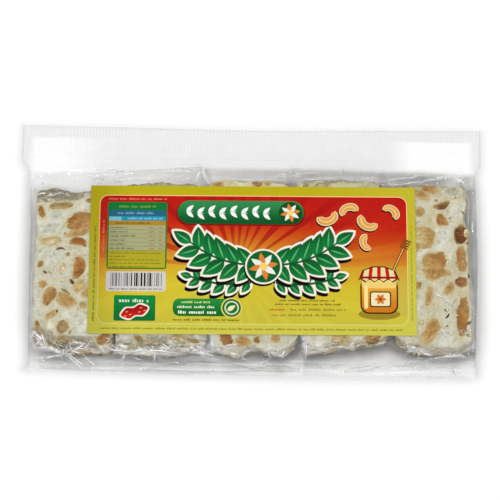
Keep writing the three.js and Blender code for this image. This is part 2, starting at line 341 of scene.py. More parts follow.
def nougat_tint(index, points, box, fractions, size):
    """The colour of each point of a bar."""
    look = LOOKS[index]
    seed = 700 + 40 * index
    colour = np.tile(np.array(NOUGAT["body"], float), (len(points), 1))
    colour = blend(colour, "green", smoothstep(noise3(points, 5.5, seed), -0.1, 0.6))
    yellowish = look["yellow"] * smoothstep(noise3(points, 6.0, seed + 3), -0.15, 0.5)
    colour = blend(colour, "yellow", yellowish)
    colour = blend(colour, "white", 0.8 * smoothstep(noise3(points, 3.6, seed + 6), 0.0, 0.6))
    colour = blend(colour, "damp", 0.5 * smoothstep(noise3(points, 2.6, seed + 9), 0.15, 0.65))
    colour = blend(colour, "line", 0.28 * smoothstep(noise3(points, 1.1, seed + 12), 0.48, 0.75))
    top = smoothstep(fractions[:, 2], 0.70, 0.97)
    colour = blend(colour, "side", 0.75 * (1 - top))
    # Painted shade: the bar darkens within about two millimetres of its long left and right sides.
    from_side = np.minimum(box[:, 0], size[0] - box[:, 0])
    side_shade = 1 - smoothstep(from_side + noise3(points, 2.5, seed + 27), 0.2, 2.2)
    colour = blend(colour, "side_shade", 0.75 * side_shade)
    flowing = points * np.array([0.16, 1.0, 1.3])
    bands = noise3(flowing, 1.5, seed + 15)
    from_foot = box[:, 1]
    from_head = size[1] - box[:, 1]
    foot = (1 - smoothstep(from_foot, 0.5, 3.0)) * (1 - 0.8 * top)
    toasted = foot * look["toasted"]
    colour = blend(colour, "fat", toasted)
    colour = blend(colour, "toast", toasted * smoothstep(bands, -0.05, 0.22) * 0.8)
    colour = blend(colour, "crust", toasted * smoothstep(-bands, 0.22, 0.5))
    streaks = noise3(points * np.array([0.3, 1.2, 1.2]), 0.9, seed + 30)
    colour = blend(colour, "white", foot * look["bright"] * smoothstep(streaks, 0.05, 0.4))
    colour = blend(colour, "white", foot * look["creamy"])
    grain = noise3(points * np.array([0.5, 1.3, 1.3]), 0.8, seed + 39)
    colour = colour * (1 + look["grain"] * foot * grain)[:, None]
    colour = blend(colour, "rough", foot * look["dark"] * smoothstep(-streaks, 0.2, 0.5))
    lines = abs(noise3(points * np.array([0.24, 1.0, 1.0]), 2.8, seed + 36))
    colour = blend(colour, "groove", foot * look["grooved"] * (1 - smoothstep(lines, 0.02, 0.11)))
    head = (1 - smoothstep(from_head, 0.5, 2.5)) * (1 - 0.7 * top)
    colour = blend(colour, "yellow", head * 0.8)
    near_head = 1 - smoothstep(from_head, 1.0, 9.0)
    if index:
        colour = blend(colour, "yellow", near_head * 0.55)
        colour = colour * (1 - np.outer(near_head, look["dimmed"]))
        lines = abs(noise3(points * np.array([0.5, 1.0, 1.0]), 2.6, seed + 33))
        cracks = look["cracked"] * (1 - smoothstep(lines, 0.02, 0.10))
        colour = blend(colour, "groove", near_head * cracks * 0.6)
        tip = look["cracked"] * np.exp(-from_head / 1.3)
        colour = blend(colour, "rough", tip * smoothstep(bands, -0.3, 0.1))
    else:
        broken = smoothstep(-points[:, 0], 72.0, 78.0) * (1 - smoothstep(from_head, 0.6, 2.6))
        colour = blend(colour, "rough", broken * 0.9)
        colour = blend(colour, "line", broken * smoothstep(noise3(points, 1.3, seed + 18), 0.0, 0.35))
        crumbs = smoothstep(noise3(points, 1.5, seed + 21), 0.22, 0.45)
        colour = blend(colour, "white", broken * 0.9 * crumbs)
    colour = colour * np.array(look["warm"])
    edge = from_edge(box, size)
    # Painted shade: a thin dark line along the bar's upper edges, broken up by noise.
    edge_shade = np.exp(-((edge - 0.3) / 0.55) ** 2) * smoothstep(fractions[:, 2], 0.5, 0.8)
    uneven = smoothstep(noise3(points, 3.0, seed + 24), -0.25, 0.35)
    colour = blend(colour, "line", edge_shade * uneven * 0.75)
    # Painted shade: the lowest part of the bar's sides darkens towards the table.
    low = 1 - smoothstep(fractions[:, 2], 0.02, 0.28)
    return blend(colour, "line", 0.8 * low * smoothstep(edge, -1, 0.2))


# ------------------------------------------------------------------ the nuts

# Bend (ends towards +y of the nut), taper, waist and roughness of each outline.
SHAPES = {
    "oval": (0.0, 0.10, 0.0, 0.045),
    "half": (0.0, 0.18, 0.0, 0.05),
    "bean": (0.03, 0.08, 0.20, 0.06),
    "bean2": (0.06, -0.10, 0.26, 0.09),
    "kidney": (-0.34, -0.22, 0.0, 0.04),
    "kidney2": (0.26, -0.22, 0.0, 0.06),
    "arch": (-0.36, 0.0, 0.0, 0.07),
    "sickle": (-0.44, 0.0, 0.0, 0.08),
    "crescent": (0.40, 0.06, -0.20, 0.05),
    "drop": (0.0, -0.55, 0.0, 0.08),
    "chunk": (0.0, 0.10, 0.0, 0.16),
    "slab": (0.0, 0.0, 0.0, 0.05),
    "wedge": (0.0, 0.0, 0.0, 0.04),
    "block": (0.0, 0.0, 0.0, 0.06),
    "long": (0.02, 0.10, 0.0, 0.07),
    "fleck": (0.05, 0.1, 0.0, 0.15),
}

# Outlines that no ellipse comes near: how far out they reach every 30 degrees from the long axis.
REACHES = {
    "slab": (0.74, 1.03, 1.16, 0.90, 1.00, 0.90, 0.76, 0.81, 0.90, 0.97, 0.77, 1.00),
    "wedge": (0.86, 0.75, 0.74, 1.05, 1.06, 0.83, 0.77, 0.89, 1.02, 0.88, 0.95, 1.26),
    "block": (1.00, 1.02, 0.90, 0.92, 1.00, 1.05, 1.00, 1.02, 1.00, 0.96, 1.02, 1.06),
}

# The colour in the middle of a nut, and the colour near its edge.
TONES = {
    "tan": ((176, 140, 84), (180, 146, 96)),
    "tan2": ((180, 144, 84), (168, 130, 76)),
    "straw": ((190, 172, 120), (184, 158, 106)),
    "pale": ((202, 190, 152), (198, 184, 146)),
    "olive": ((152, 130, 88), (132, 108, 70)),
    "brown": ((166, 126, 74), (158, 116, 68)),
    "orange": ((150, 98, 44), (142, 90, 40)),
    "amber": ((140, 78, 26), (108, 54, 20)),
    "amber2": ((164, 118, 62), (138, 90, 46)),
    "skin": ((106, 62, 32), (78, 44, 24)),
    "skin2": ((144, 96, 56), (116, 72, 42)),
    "dark": ((88, 64, 46), (98, 76, 56)),
    "shade": ((142, 128, 98), (150, 138, 110)),
    "cover": ((208, 196, 162), (204, 194, 164)),
    "veiled": ((188, 180, 146), (194, 188, 158)),
    "sage": ((144, 147, 124), (158, 161, 138)),
}

MELLOW = (184, 162, 112)                       # what a tan nut fades to near its rim

# The nuts that show on the upper faces: x, y, long, wide, turn in degrees, outline and tone.
SHOWN_NUTS = [
    (-103.0, 15.6, 6.9, 3.1, -71, "oval", "orange"),
    (-93.7, 18.8, 12.3, 4.2, 5, "bean", "olive"),
    (-83.4, 10.5, 15.8, 10.2, 15, "half", "brown"),
    (-84.2, 5.3, 14.2, 5.0, 20, "oval", "tan"),
    (-98.0, 0.2, 9.6, 4.9, 8, "chunk", "pale"),
    (-84.5, -0.2, 9.3, 4.2, -4, "arch", "amber"),
    (-92.9, -3.8, 5.4, 1.2, 4, "sickle", "skin"),
    (-89.1, -6.4, 2.1, 2.0, 11, "oval", "olive"),
    (-91.1, 4.4, 1.8, 0.7, 76, "fleck", "shade"),
    (-96.1, -5.8, 2.6, 0.5, -76, "fleck", "shade"),
    (-83.6, 26.0, 2.7, 2.0, 61, "oval", "tan"),
    (-79.9, 21.6, 2.9, 2.1, 0, "oval", "olive"),
    (-92.2, -15.4, 8.4, 7.2, 40, "chunk", "veiled"),
    (-84.0, -13.2, 12.8, 6.2, -98, "kidney", "orange"),
    (-102.4, -11.6, 4.4, 2.7, 66, "oval", "olive"),
    (-100.0, -15.8, 2.1, 1.2, -41, "fleck", "dark"),
    (-91.4, -13.9, 4.6, 3.9, -71, "drop", "pale"),
    (-100.9, -21.9, 4.1, 3.8, 31, "oval", "brown"),
    (-86.7, -20.5, 3.4, 1.7, -56, "oval", "dark"),
    (-97.5, -27.9, 10.7, 5.9, 69, "oval", "brown"),
    (-89.1, -29.8, 11.1, 6.9, -23, "kidney2", "tan"),
    (-83.0, -22.5, 7.6, 5.0, 51, "chunk", "straw"),
    (-89.3, -25.6, 5.7, 1.5, -37, "fleck", "shade"),
    (-80.9, -32.3, 3.6, 3.6, 0, "oval", "tan"),
    (-83.2, -34.3, 1.0, 0.8, 0, "fleck", "shade"),
    (-96.0, -37.3, 7.0, 3.3, 31, "bean", "tan"),
    (-93.4, -35.7, 1.9, 0.9, 71, "fleck", "dark"),
    (-102.9, -42.6, 4.5, 2.7, -80, "oval", "olive"),
    (-90.5, -43.6, 6.9, 5.7, 61, "half", "olive"),
    (-86.7, -46.0, 3.2, 0.9, 63, "fleck", "shade"),
    (-79.7, -26.0, 5.8, 3.7, 56, "oval", "tan"),
    (-97.0, -16.3, 4.0, 0.5, -26, "fleck", "shade"),
    (88.7, 30.0, 8.6, 4.4, -4, "chunk", "brown"),
    (85.1, 26.7, 7.6, 5.9, -21, "bean2", "tan"),
    (91.5, 24.1, 2.0, 1.2, -21, "oval", "olive"),
    (94.2, 21.7, 9.1, 3.2, 17, "crescent", "skin"),
    (83.5, 18.0, 5.3, 4.2, 76, "oval", "tan"),
    (94.1, 13.9, 6.4, 6.6, 0, "wedge", "amber2"),
    (98.9, 27.0, 2.1, 0.9, -21, "fleck", "shade"),
    (101.0, 25.5, 1.1, 0.8, 0, "fleck", "shade"),
    (96.6, 25.8, 2.2, 1.2, 11, "oval", "pale"),
    (104.6, 18.0, 3.0, 0.9, -46, "fleck", "shade"),
    (98.3, 14.7, 1.1, 0.9, 0, "fleck", "shade"),
    (99.4, 28.6, 10.4, 6.2, 8, "oval", "sage"),
    (88.8, 13.5, 2.7, 1.4, 80, "oval", "pale"),
    (103.6, 6.4, 10.4, 7.6, 80, "oval", "skin"),
    (106.3, 7.2, 5.0, 3.0, 78, "bean", "cover"),
    (106.9, 2.2, 1.9, 1.0, 20, "fleck", "dark"),
    (107.3, -14.6, 2.4, 1.1, -60, "fleck", "dark"),
    (107.0, -38.6, 2.6, 1.3, 30, "fleck", "dark"),
    (84.9, 5.0, 12.6, 12.2, 0, "block", "straw"),
    (82.3, 0.4, 6.4, 4.4, 60, "chunk", "tan"),
    (103.7, -6.2, 13.9, 6.1, -86, "bean", "brown"),
    (90.1, -10.4, 15.2, 15.6, 0, "slab", "tan2"),
    (97.2, -13.4, 3.8, 2.3, -51, "oval", "tan2"),
    (82.5, -19.9, 4.2, 2.7, 80, "oval", "brown"),
    (87.6, -25.2, 11.1, 4.0, 82, "bean", "tan"),
    (97.5, -21.6, 7.6, 4.6, 59, "oval", "tan"),
    (103.4, -18.0, 6.1, 5.7, 21, "oval", "skin2"),
    (100.9, -17.2, 2.3, 0.9, 76, "fleck", "dark"),
    (107.0, -15.4, 1.8, 0.6, 5, "fleck", "dark"),
    (103.8, -35.7, 21.6, 5.9, 84, "long", "amber2"),
    (88.0, -43.2, 15.3, 7.7, 61, "bean", "tan"),
    (83.6, -39.0, 3.1, 2.2, 61, "oval", "pale"),
    (95.4, -32.4, 1.7, 0.9, -61, "fleck", "shade"),
    (96.3, -35.6, 3.5, 1.0, 56, "fleck", "dark"),
    (96.1, -40.4, 1.4, 1.0, 31, "fleck", "shade"),
    (-70.5, -49.0, 7.4, 5.1, 16, "bean", "amber2"),
    (-11.0, -48.5, 8.1, 5.5, -51, "oval", "skin2"),
    (-2.8, -50.0, 8.2, 6.4, -21, "half", "tan"),
    (3.9, -48.4, 3.4, 3.0, 70, "drop", "skin2"),
    (12.7, -47.9, 4.4, 4.1, 0, "oval", "tan"),
    (44.7, -47.4, 10.8, 5.2, 2, "bean", "straw"),
    (60.1, -46.6, 8.4, 5.6, 21, "oval", "brown"),
    (-16.3, 31.0, 5.9, 4.1, 11, "oval", "tan"),
    (3.5, 32.0, 5.9, 3.6, 5, "oval", "brown"),
    (8.4, 32.0, 3.4, 2.6, 0, "oval", "tan"),
    (-53.1, -48.6, 4.4, 2.6, -21, "oval", "olive"),
    (-33.3, -47.8, 6.9, 3.1, -8, "oval", "pale"),
]


class Pile:
    """Many small shapes gathered into one mesh."""

    def __init__(self):
        self.points, self.faces, self.marks, self.count = [], [], [], 0

    def add(self, points, faces, marks):
        points = np.array(points)
        points[:, 2] = np.maximum(points[:, 2], LOWEST_NUT)
        self.faces.append(np.asarray(faces) + self.count)
        self.points.append(points)
        self.marks.append(marks)
        self.count += len(points)

    def build(self, name):
        return new_object(name, np.concatenate(self.points), np.concatenate(self.faces))


def nut_outline(u, v, shape, rng):
    """Moves points of the unit disc to a nut's outline, still with half-axes of one."""
    bend, taper, waist, rough = SHAPES[shape]
    angle, radius = np.arctan2(v, u), np.hypot(u, v)
    phase = rng.uniform(0, 2 * math.pi, 7)
    wobble = sum(np.sin(k * angle + phase[k - 2]) / k ** 0.8 for k in range(2, 9))
    swell = 1 + rough * 1.1 * wobble * radius
    if shape in REACHES:
        ring = np.array(REACHES[shape] + REACHES[shape][:1])
        turn = (angle % (2 * math.pi)) / (2 * math.pi)
        swell = swell * lerp(1.0, along(ring, turn), np.clip(radius * 1.4, 0, 1))
    x = u * swell
    y = v * swell * (1 + taper * u) * (1 - waist * np.exp(-(u / 0.35) ** 2))
    return x, y, bend * (x * x - 0.4)


def stained(colour, factors, share):
    """Multiplies part of a list of colours by the factors."""
    return lerp(colour, colour * np.array(factors), share[:, None])


def nut_tint(x, y, radius, angle, half, tone, rng):
    """Colours over a nut: mottled, fibrous, smeared with nougat or dark with skin at its rim."""
    seed = rng.randint(1, 10000)
    nougat = np.array(NOUGAT["body"], float)
    middle, edge = (np.array(part, float) for part in TONES[tone])
    colour = lerp(middle, edge, (smoothstep(radius, 0.3, 0.9) * 0.9)[:, None])
    px, py = x * half[0] + 60, y * half[1] + 60
    golden = (0.6 * noise(px, py, 2.4, seed) + 0.4 * noise(px, py, 1.1, seed + 1))[:, None]
    colour = colour * (1 + golden * np.array([0.09, 0.14, 0.26]))
    one_side = radius * np.cos(angle - rng.uniform(0, 2 * math.pi))
    if tone in ("veiled", "sage"):
        cloudy = 0.5 + 0.5 * smoothstep(noise(px, py, 1.7, seed + 5), -0.6, 0.4)
        faint = lerp(nougat, lerp(middle, edge, radius[:, None]), cloudy[:, None])
        return lerp(faint, nougat, smoothstep(radius, 0.35, 1.0)[:, None])
    colour = stained(colour, (0.88, 0.76, 0.60), 0.8 * smoothstep(one_side, -0.1, 0.9))
    colour = stained(colour, (1.12, 1.22, 1.42), 0.7 * smoothstep(-one_side, -0.1, 0.9))
    fibre = noise(px * 0.35 + 40, py * 1.5 + 40, 0.9, seed + 2)[:, None]
    colour = colour * (1 + 0.12 * fibre)
    scorch = smoothstep(noise(px, py, 1.6, seed + 3), 0.30, 0.75)
    colour = stained(colour, (0.82, 0.75, 0.68), scorch * 0.7)
    if tone in ("cover", "shade", "dark"):
        return colour
    rim = min(half)
    arc = noise(2.2 * np.cos(angle) + 20, 2.2 * np.sin(angle) + 20, 1.0, seed + 4)
    skin = smoothstep(radius, 1 - 1.5 / max(rim, 1.6), 1 - 0.5 / max(rim, 1.0))
    colour = stained(colour, (0.62, 0.52, 0.45), skin * smoothstep(-arc, 0.10, 0.5) * 0.5)
    if tone in TAN_TONES and tone not in ("olive", "orange"):
        mellow = smoothstep(radius, 1 - 2.4 / max(rim, 2.6), 1 - 0.4 / max(rim, 1.0))
        colour = lerp(colour, np.array(MELLOW, float), (mellow * 0.5)[:, None])
    smear = smoothstep(radius, 1 - 1.8 / max(rim, 2.0), 1.0) * (0.60 + 0.40 * smoothstep(arc, -0.2, 0.4))
    return blend(colour, "halo", smear * 0.85)


def add_nut(pile, tree, origin, axes, size, shape, tone, rng, rings=8, spokes=32):
    """One nut pressed into the surface under origin. axes are its long, wide and outward ones."""
    long_axis, wide_axis, outward = axes
    ring, spoke = np.meshgrid(np.arange(1, rings + 1), np.arange(spokes), indexing="ij")
    radius = (ring / rings).ravel() ** 0.65
    angle = (spoke * 2 * math.pi / spokes).ravel()
    radius, angle = np.r_[0.0, radius], np.r_[0.0, angle]
    u, v = radius * np.cos(angle), radius * np.sin(angle)
    x, y, lift = nut_outline(u, v, shape, rng)
    rim_width = min(NUT_RIM, 0.09 * size[1])
    half_long, half_wide = size[0] / 2 + rim_width, size[1] / 2 + rim_width
    across = y * half_wide + lift * half_long
    offset = np.outer(x * half_long, long_axis) + np.outer(across, wide_axis)
    dome = (0.14 + 0.02 * half_wide) * (1 - radius ** 3) - 0.10 * radius ** 8
    if tone == "cover":
        dome = dome + 0.22 * (1 - radius ** 6)
    if tone in ("veiled", "sage"):
        dome = 0.24 * (1 - radius ** 2)
    bumps = 0.09 * noise(x * half_long + 31 * rng.uniform(), y * half_wide, 1.1, 7)
    points, previous = [], None
    for k, shift in enumerate(offset):
        start = origin + shift + NUT_RAY_START * outward
        hit = tree.ray_cast(Vector(start), Vector(-outward), NUT_RAY)[0]
        if hit is None:
            near = tree.find_nearest(Vector(origin + shift))[0]
            hit = near if previous is None else previous * 0.5 + near * 0.5
        previous = hit
        points.append(np.array(hit) + outward * (dome[k] + bumps[k]))
    points = np.array(points)
    rim = points[-spokes:]
    under = points[0] * 0.25 + rim * 0.75 - outward * NUT_ROOT[0]
    points = np.concatenate([points, under, [points[0] - outward * NUT_ROOT[1]]])
    faces = []
    for s in range(spokes):
        t = (s + 1) % spokes
        faces.append((0, 1 + s, 1 + t))
        for r in range(rings):
            a, b = 1 + r * spokes, 1 + (r + 1) * spokes
            faces.append((a + s, b + s, b + t))
            faces.append((a + s, b + t, a + t))
        faces.append((b + s, len(points) - 1, b + t))
    tint = nut_tint(x, y, radius, angle, (half_long, half_wide), tone, rng)
    tint = np.concatenate([tint, np.repeat(tint[-1:], spokes + 1, 0)])
    pile.add(points, faces, np.clip(linear(np.clip(tint, 0, 255)) - VEIL, 0.003, 1))


def outward_at(bar, u, v, face):
    """A point on a bar's face and the face's outward axis there."""
    def point(*place):
        return in_plan(bar, *np.array(place, float)[:, None])[0]

    if face == "under":
        return point(u, v, 0), (0, 0, -1)
    if face in ("foot", "head"):
        end = 0 if face == "foot" else 1
        low, high = point(u, end, 0), point(u, end, 1)
        run = high - low
        slope = np.array([0, -run[2], run[1]]) * (1 if face == "foot" else -1)
        return lerp(low, high, v), slope / np.linalg.norm(slope)
    side = 0 if face == "left" else 1
    return lerp(point(side, u, 0), point(side, u, 1), v), (2 * side - 1, 0, 0)


def turned_axes(outward, turn):
    """A nut's long and wide axes, turned by an angle in degrees within its face."""
    outward = np.asarray(outward, float)
    first = np.array([1.0, 0, 0]) if abs(outward[0]) < 0.9 else np.array([0, 1.0, 0])
    first = first - outward * first.dot(outward)
    first /= np.linalg.norm(first)
    second = np.cross(outward, first)
    c, s = math.cos(math.radians(turn)), math.sin(math.radians(turn))
    return c * first + s * second, -s * first + c * second, outward


# How many unseen nuts each face of a bar gets, how large they are, and how narrow.
SCATTER = [
    ("under", 20, (5.0, 13.0), (0.45, 0.8)),
    ("foot", 4, (4.0, 9.0), (0.25, 0.5)),
    ("head", 3, (3.5, 7.0), (0.35, 0.6)),
    ("left", 4, (4.0, 9.0), (0.45, 0.7)),
    ("right", 4, (4.0, 9.0), (0.45, 0.7)),
]
TAN_TONES = ("tan", "tan2", "pale", "olive", "orange", "straw", "cover")
BROWN_TONES = ("brown", "amber", "amber2", "skin", "skin2", "dark", "shade")


def scatter_nuts(bar, tree, kinds, rng):
    """The nuts on a bar's ends, sides and underside."""
    for face, number, (least, most), (slim, stout) in SCATTER:
        for k in range(number):
            u = (k + rng.uniform(0.15, 0.85)) / number
            v = rng.uniform(0.1, 0.9)
            if face == "under":
                u, v = rng.uniform(0.1, 0.9), u
            origin, outward = outward_at(bar, u, v, face)
            long = rng.uniform(least, most)
            wide = long * rng.uniform(slim, stout)
            wide = wide if face == "under" else min(wide, 5.0)
            turn = rng.uniform(0, 180) if face == "under" else rng.uniform(-18, 18)
            shape = rng.choice(["oval", "half", "bean", "drop", "chunk", "kidney"])
            browns = BROWN_TONES[:4] if face == "under" else BROWN_TONES[:1]
            tone = rng.choice(TAN_TONES[:-1] + browns)
            if face == "foot":
                tone = rng.choice(TAN_TONES[:4])
            if bar is BARS[0] and face == "head":
                tone = "shade"
            pile = kinds["brown" if tone in BROWN_TONES else "tan"]
            axes = turned_axes(outward, turn)
            add_nut(pile, tree, origin, axes, (long, wide), shape, tone, rng, rings=5, spokes=18)


def make_bars_and_nuts():
    """The five bars and two meshes of nuts. Returns the pieces and a tree of all their faces."""
    bars, kinds = [], {"tan": Pile(), "brown": Pile()}
    every_point, every_face, count = [], [], 0
    for index, bar in enumerate(BARS):
        points, faces, colour = bar_shape(index, bar)
        tree = tree_of(points, faces)
        rng = np.random.RandomState(300 + index)
        halo = np.zeros(len(points))
        left = min(bar["foot_x"][0], bar["head_x"][0])
        right = max(bar["foot_x"][1], bar["head_x"][1])
        for x, y, long, wide, turn, shape, tone in SHOWN_NUTS:
            if not left < x < right:
                continue
            centre = np.array([x, y, bar["height"]])
            axes = turned_axes((0, 0, 1), turn)
            pile = kinds["brown" if tone in BROWN_TONES else "tan"]
            add_nut(pile, tree, centre, axes, (long, wide), shape, tone, rng)
            away = points - centre
            across = np.stack([away @ axes[0] / (long / 2), away @ axes[1] / (wide / 2)], 1)
            gap = (np.linalg.norm(across, axis=1) - 1) * wide / 2
            near = np.exp(-np.clip(gap, 0, None) / HALO_REACH) * (points[:, 2] > 6)
            halo = np.maximum(halo, near * min(1.0, wide / 3.0))
        scatter_nuts(bar, tree, kinds, rng)
        piece = new_object(f"nougat_bar_{index + 1}", points, faces)
        paint(piece, "tint", linear(blend(colour, "halo", halo * HALO_SHARE)))
        bars.append(piece)
        every_point.append(points)
        every_face.extend((faces + count).tolist())
        count += len(points)
    nuts = []
    for kind, pile in kinds.items():
        every_point.extend(pile.points)
        every_face.extend(face for group in pile.faces for face in (group + count).tolist())
        count += pile.count
        nuts.append(pile.build(f"nuts_{kind}"))
        paint(nuts[-1], "tint", np.concatenate(pile.marks))
    return bars, nuts, tree_of(np.concatenate(every_point), every_face)


# ------------------------------------------------------------------ the label's print

# Places are in millimetres from the label's centre, u to the right and v up.

FIELD = dict(left=-75.1, right=75.6, low=-32.6, high=32.8, radius=4.0)
OUTLINE = 0.45                                 # how wide the pale line round the field is
SUN = (-8.0, -5.3)                             # the middle of the rays
RAYS = (7.0, 190.0)                            # how far from there they start and end
# The next colour is a painted sheen that pales the field near its lower right-hand end.
FIELD_SHEEN = (188, 168, 84)                          # the field's colour near its lower right-hand end
# The border's yellow at its top, foot and sides; its paler foot and right are painted sheen.
BORDER = dict(top=(178, 165, 28), foot=(194, 188, 73), side=(186, 175, 50))
FIELD_STOPS = [
    (0.00, (177, 29, 11)), (0.22, (182, 36, 13)), (0.34, (190, 68, 24)), (0.46, (196, 106, 36)),
    (0.60, (200, 150, 42)), (0.78, (200, 180, 46)), (1.00, (190, 179, 58)),
]


def blend_stops(stops, t):
    """The colour at t on a row of stops."""
    places = [stop[0] for stop in stops]
    colours = np.array([stop[1] for stop in stops], float)
    return np.stack([np.interp(t, places, colours[:, k]) for k in range(3)], -1)


def field_place(u, v):
    """How far down the red-to-yellow gradient a point is, with a glow round the rays' centre."""
    down = (FIELD["high"] - v) / (FIELD["high"] - FIELD["low"])
    far = np.hypot((u - SUN[0]) / 2.4, v - SUN[1])
    return down + 0.17 * np.exp(-(far / 21.0) ** 2)


def field_colour(u, v):
    """The gradient, paled by a painted sheen low down near its right-hand end."""
    painted_sheen = 0.55 * smoothstep(u, 60.0, 74.0) * smoothstep(-v, -4.0, 12.0)
    return lerp(blend_stops(FIELD_STOPS, field_place(u, v)), np.array(FIELD_SHEEN, float), painted_sheen[:, None])


def ray_colour(u, v):
    """Deeper red above the centre and paler yellow below it."""
    above = smoothstep(v, SUN[1] - 6, SUN[1] + 8)
    near = smoothstep(np.hypot(u - SUN[0], v - SUN[1]), 4.0, 22.0)
    fading = 1 - 0.8 * smoothstep(abs(u - SUN[0]), 34.0, 70.0)
    place = field_place(u, v) - 0.15 * above * near * fading
    shade = blend_stops(FIELD_STOPS, place) * (1 - 0.07 * above * near * fading)[:, None]
    return shade + ((1 - above) * near)[:, None] * np.array([4, 4, 4.0])


def border_colour(u, v):
    """The yellow round the field, a little paler towards the foot and the right as painted sheen."""
    low = smoothstep(-v, -30.0, 36.0)[:, None]
    right = smoothstep(u, 20.0, 78.0)[:, None]
    top, foot, side = (np.array(BORDER[part], float) for part in ("top", "foot", "side"))
    return lerp(lerp(top, side, right * 0.8), foot, low)


def plain(r, g, b):
    """One colour all over."""
    return lambda u, v: np.tile([float(r), g, b], (len(u), 1))


def fade(low_v, low, high_v, high):
    """A colour that runs from one at a lower v to one at a higher v."""
    low, high = np.array(low, float), np.array(high, float)
    return lambda u, v: lerp(low, high, smoothstep(v, low_v, high_v)[:, None])


CREAM = fade(-14.0, (208, 202, 120), 12.0, (236, 188, 130))
WHITE = plain(228, 222, 206)
SHADOW = plain(30, 20, 14)
GREEN = plain(22, 116, 54)
DEEP_GREEN = plain(14, 84, 44)
RED = plain(186, 32, 24)


def rounded_box(u0, v0, u1, v1, radius, turns=6):
    points = []
    corners = [(u1 - radius, v1 - radius, 0), (u0 + radius, v1 - radius, 90),
               (u0 + radius, v0 + radius, 180), (u1 - radius, v0 + radius, 270)]
    for cu, cv, start in corners:
        for k in range(turns + 1):
            angle = math.radians(start + 90 * k / turns)
            points.append((cu + radius * math.cos(angle), cv + radius * math.sin(angle)))
    return points


def box(u0, v0, u1, v1):
    return [(u0, v0), (u1, v0), (u1, v1), (u0, v1)]


def slanted(u, v, width, height, lean):
    """A parallelogram about a centre."""
    corners = box(u - width / 2, v - height / 2, u + width / 2, v + height / 2)
    return [(a + (lean / 2 if b > v else -lean / 2), b) for a, b in corners]


def disc(u, v, radius, squash=1.0, count=28):
    return [(u + radius * math.cos(2 * math.pi * k / count),
             v + radius * squash * math.sin(2 * math.pi * k / count)) for k in range(count)]


def placed(points, u, v, turn):
    c, s = math.cos(math.radians(turn)), math.sin(math.radians(turn))
    return [(u + c * x - s * y, v + s * x + c * y) for x, y in points]


def leaf(u, v, long, wide, turn, grow=0.0, count=11):
    """A pointed leaf from its stalk at u, v. grow widens it all round."""
    upper, lower = [], []
    for k in range(count + 1):
        t = k / count
        half = (wide / 2) * math.sin(math.pi * t ** 0.8) ** 0.9
        half += grow * min(1.0, 6 * min(t, 1 - t) + 0.25)
        x = -grow * 1.4 + (long + 2.8 * grow) * t
        upper.append((x, half))
        lower.append((x, -half * 0.92))
    outline = lower + upper[::-1]
    apart = [p for k, p in enumerate(outline) if k == 0 or math.dist(p, outline[k - 1]) > 1e-3]
    return placed(apart, u, v, turn)


def curl(u, v, long, wide, turn, grow=0.0, count=14):
    """A cashew's outline: a fat crescent with round ends."""
    outer, inner = [], []
    for k in range(count + 1):
        t = k / count
        angle = math.radians(-15 + 210 * t)
        end = math.sin(math.pi * min(max(t, 0.02), 0.98)) ** 0.45
        half = (wide / 2) * end * (1.12 - 0.3 * t) + grow
        for side, reach in ((outer, long * 0.42 + half), (inner, long * 0.42 - half)):
            side.append((reach * math.cos(angle), reach * math.sin(angle) * 0.8))
    return placed(outer + inner[::-1], u, v, turn)


class Print:
    """The label's shapes, from the lowest to the uppermost."""

    def __init__(self):
        self.shapes = []

    def add(self, points, colour, within=None):
        self.shapes.append((np.array(points, float), colour, within))
        return len(self.shapes) - 1

    def crumbs(self, start, end, height, colour, rng, group=(3, 9), upright=False):
        """A line of uneven specks in place of fine print."""
        at, line = start[1] if upright else start[0], start[0] if upright else start[1]
        while at < end - height * 0.7:
            for _ in range(rng.randint(*group)):
                wide = height * rng.uniform(0.30, 0.62)
                tall = height * rng.choice([0.65, 0.75, 0.75, 1.0])
                low = line - height / 2
                if at + wide > end:
                    break
                corners = box(at, low, at + wide, low + tall)
                self.add([(2 * line - b, a) for a, b in corners] if upright else corners, colour)
                at += wide + height * rng.uniform(0.16, 0.28)
            at += height * 0.75


def draw_field(ink):
    """The yellow border, the field in its pale outline and the field's rays."""
    width, height = LABEL["half_width"], LABEL["half_height"]
    ink.add(box(-width, -height, width, height), border_colour)
    left, right, low, high, radius = FIELD.values()
    around = (left - OUTLINE, low - OUTLINE, right + OUTLINE, high + OUTLINE)
    ink.add(rounded_box(*around, radius + 0.4, 8), CREAM)
    field = ink.add(rounded_box(left, low, right, high, radius, 8), field_colour)
    rng = np.random.RandomState(41)
    angle = 4.0
    while angle < 352:
        half = rng.uniform(1.6, 3.6)
        points = []
        for reach, side in ((RAYS[0], -1), (RAYS[0], 1), (RAYS[1], 1), (RAYS[1], -1)):
            course = math.radians(angle + side * half)
            points.append((SUN[0] + reach * math.cos(course), SUN[1] + reach * math.sin(course)))
        ink.add(points, ray_colour, within=field)
        angle += half * 2 + rng.uniform(5.0, 10.5)


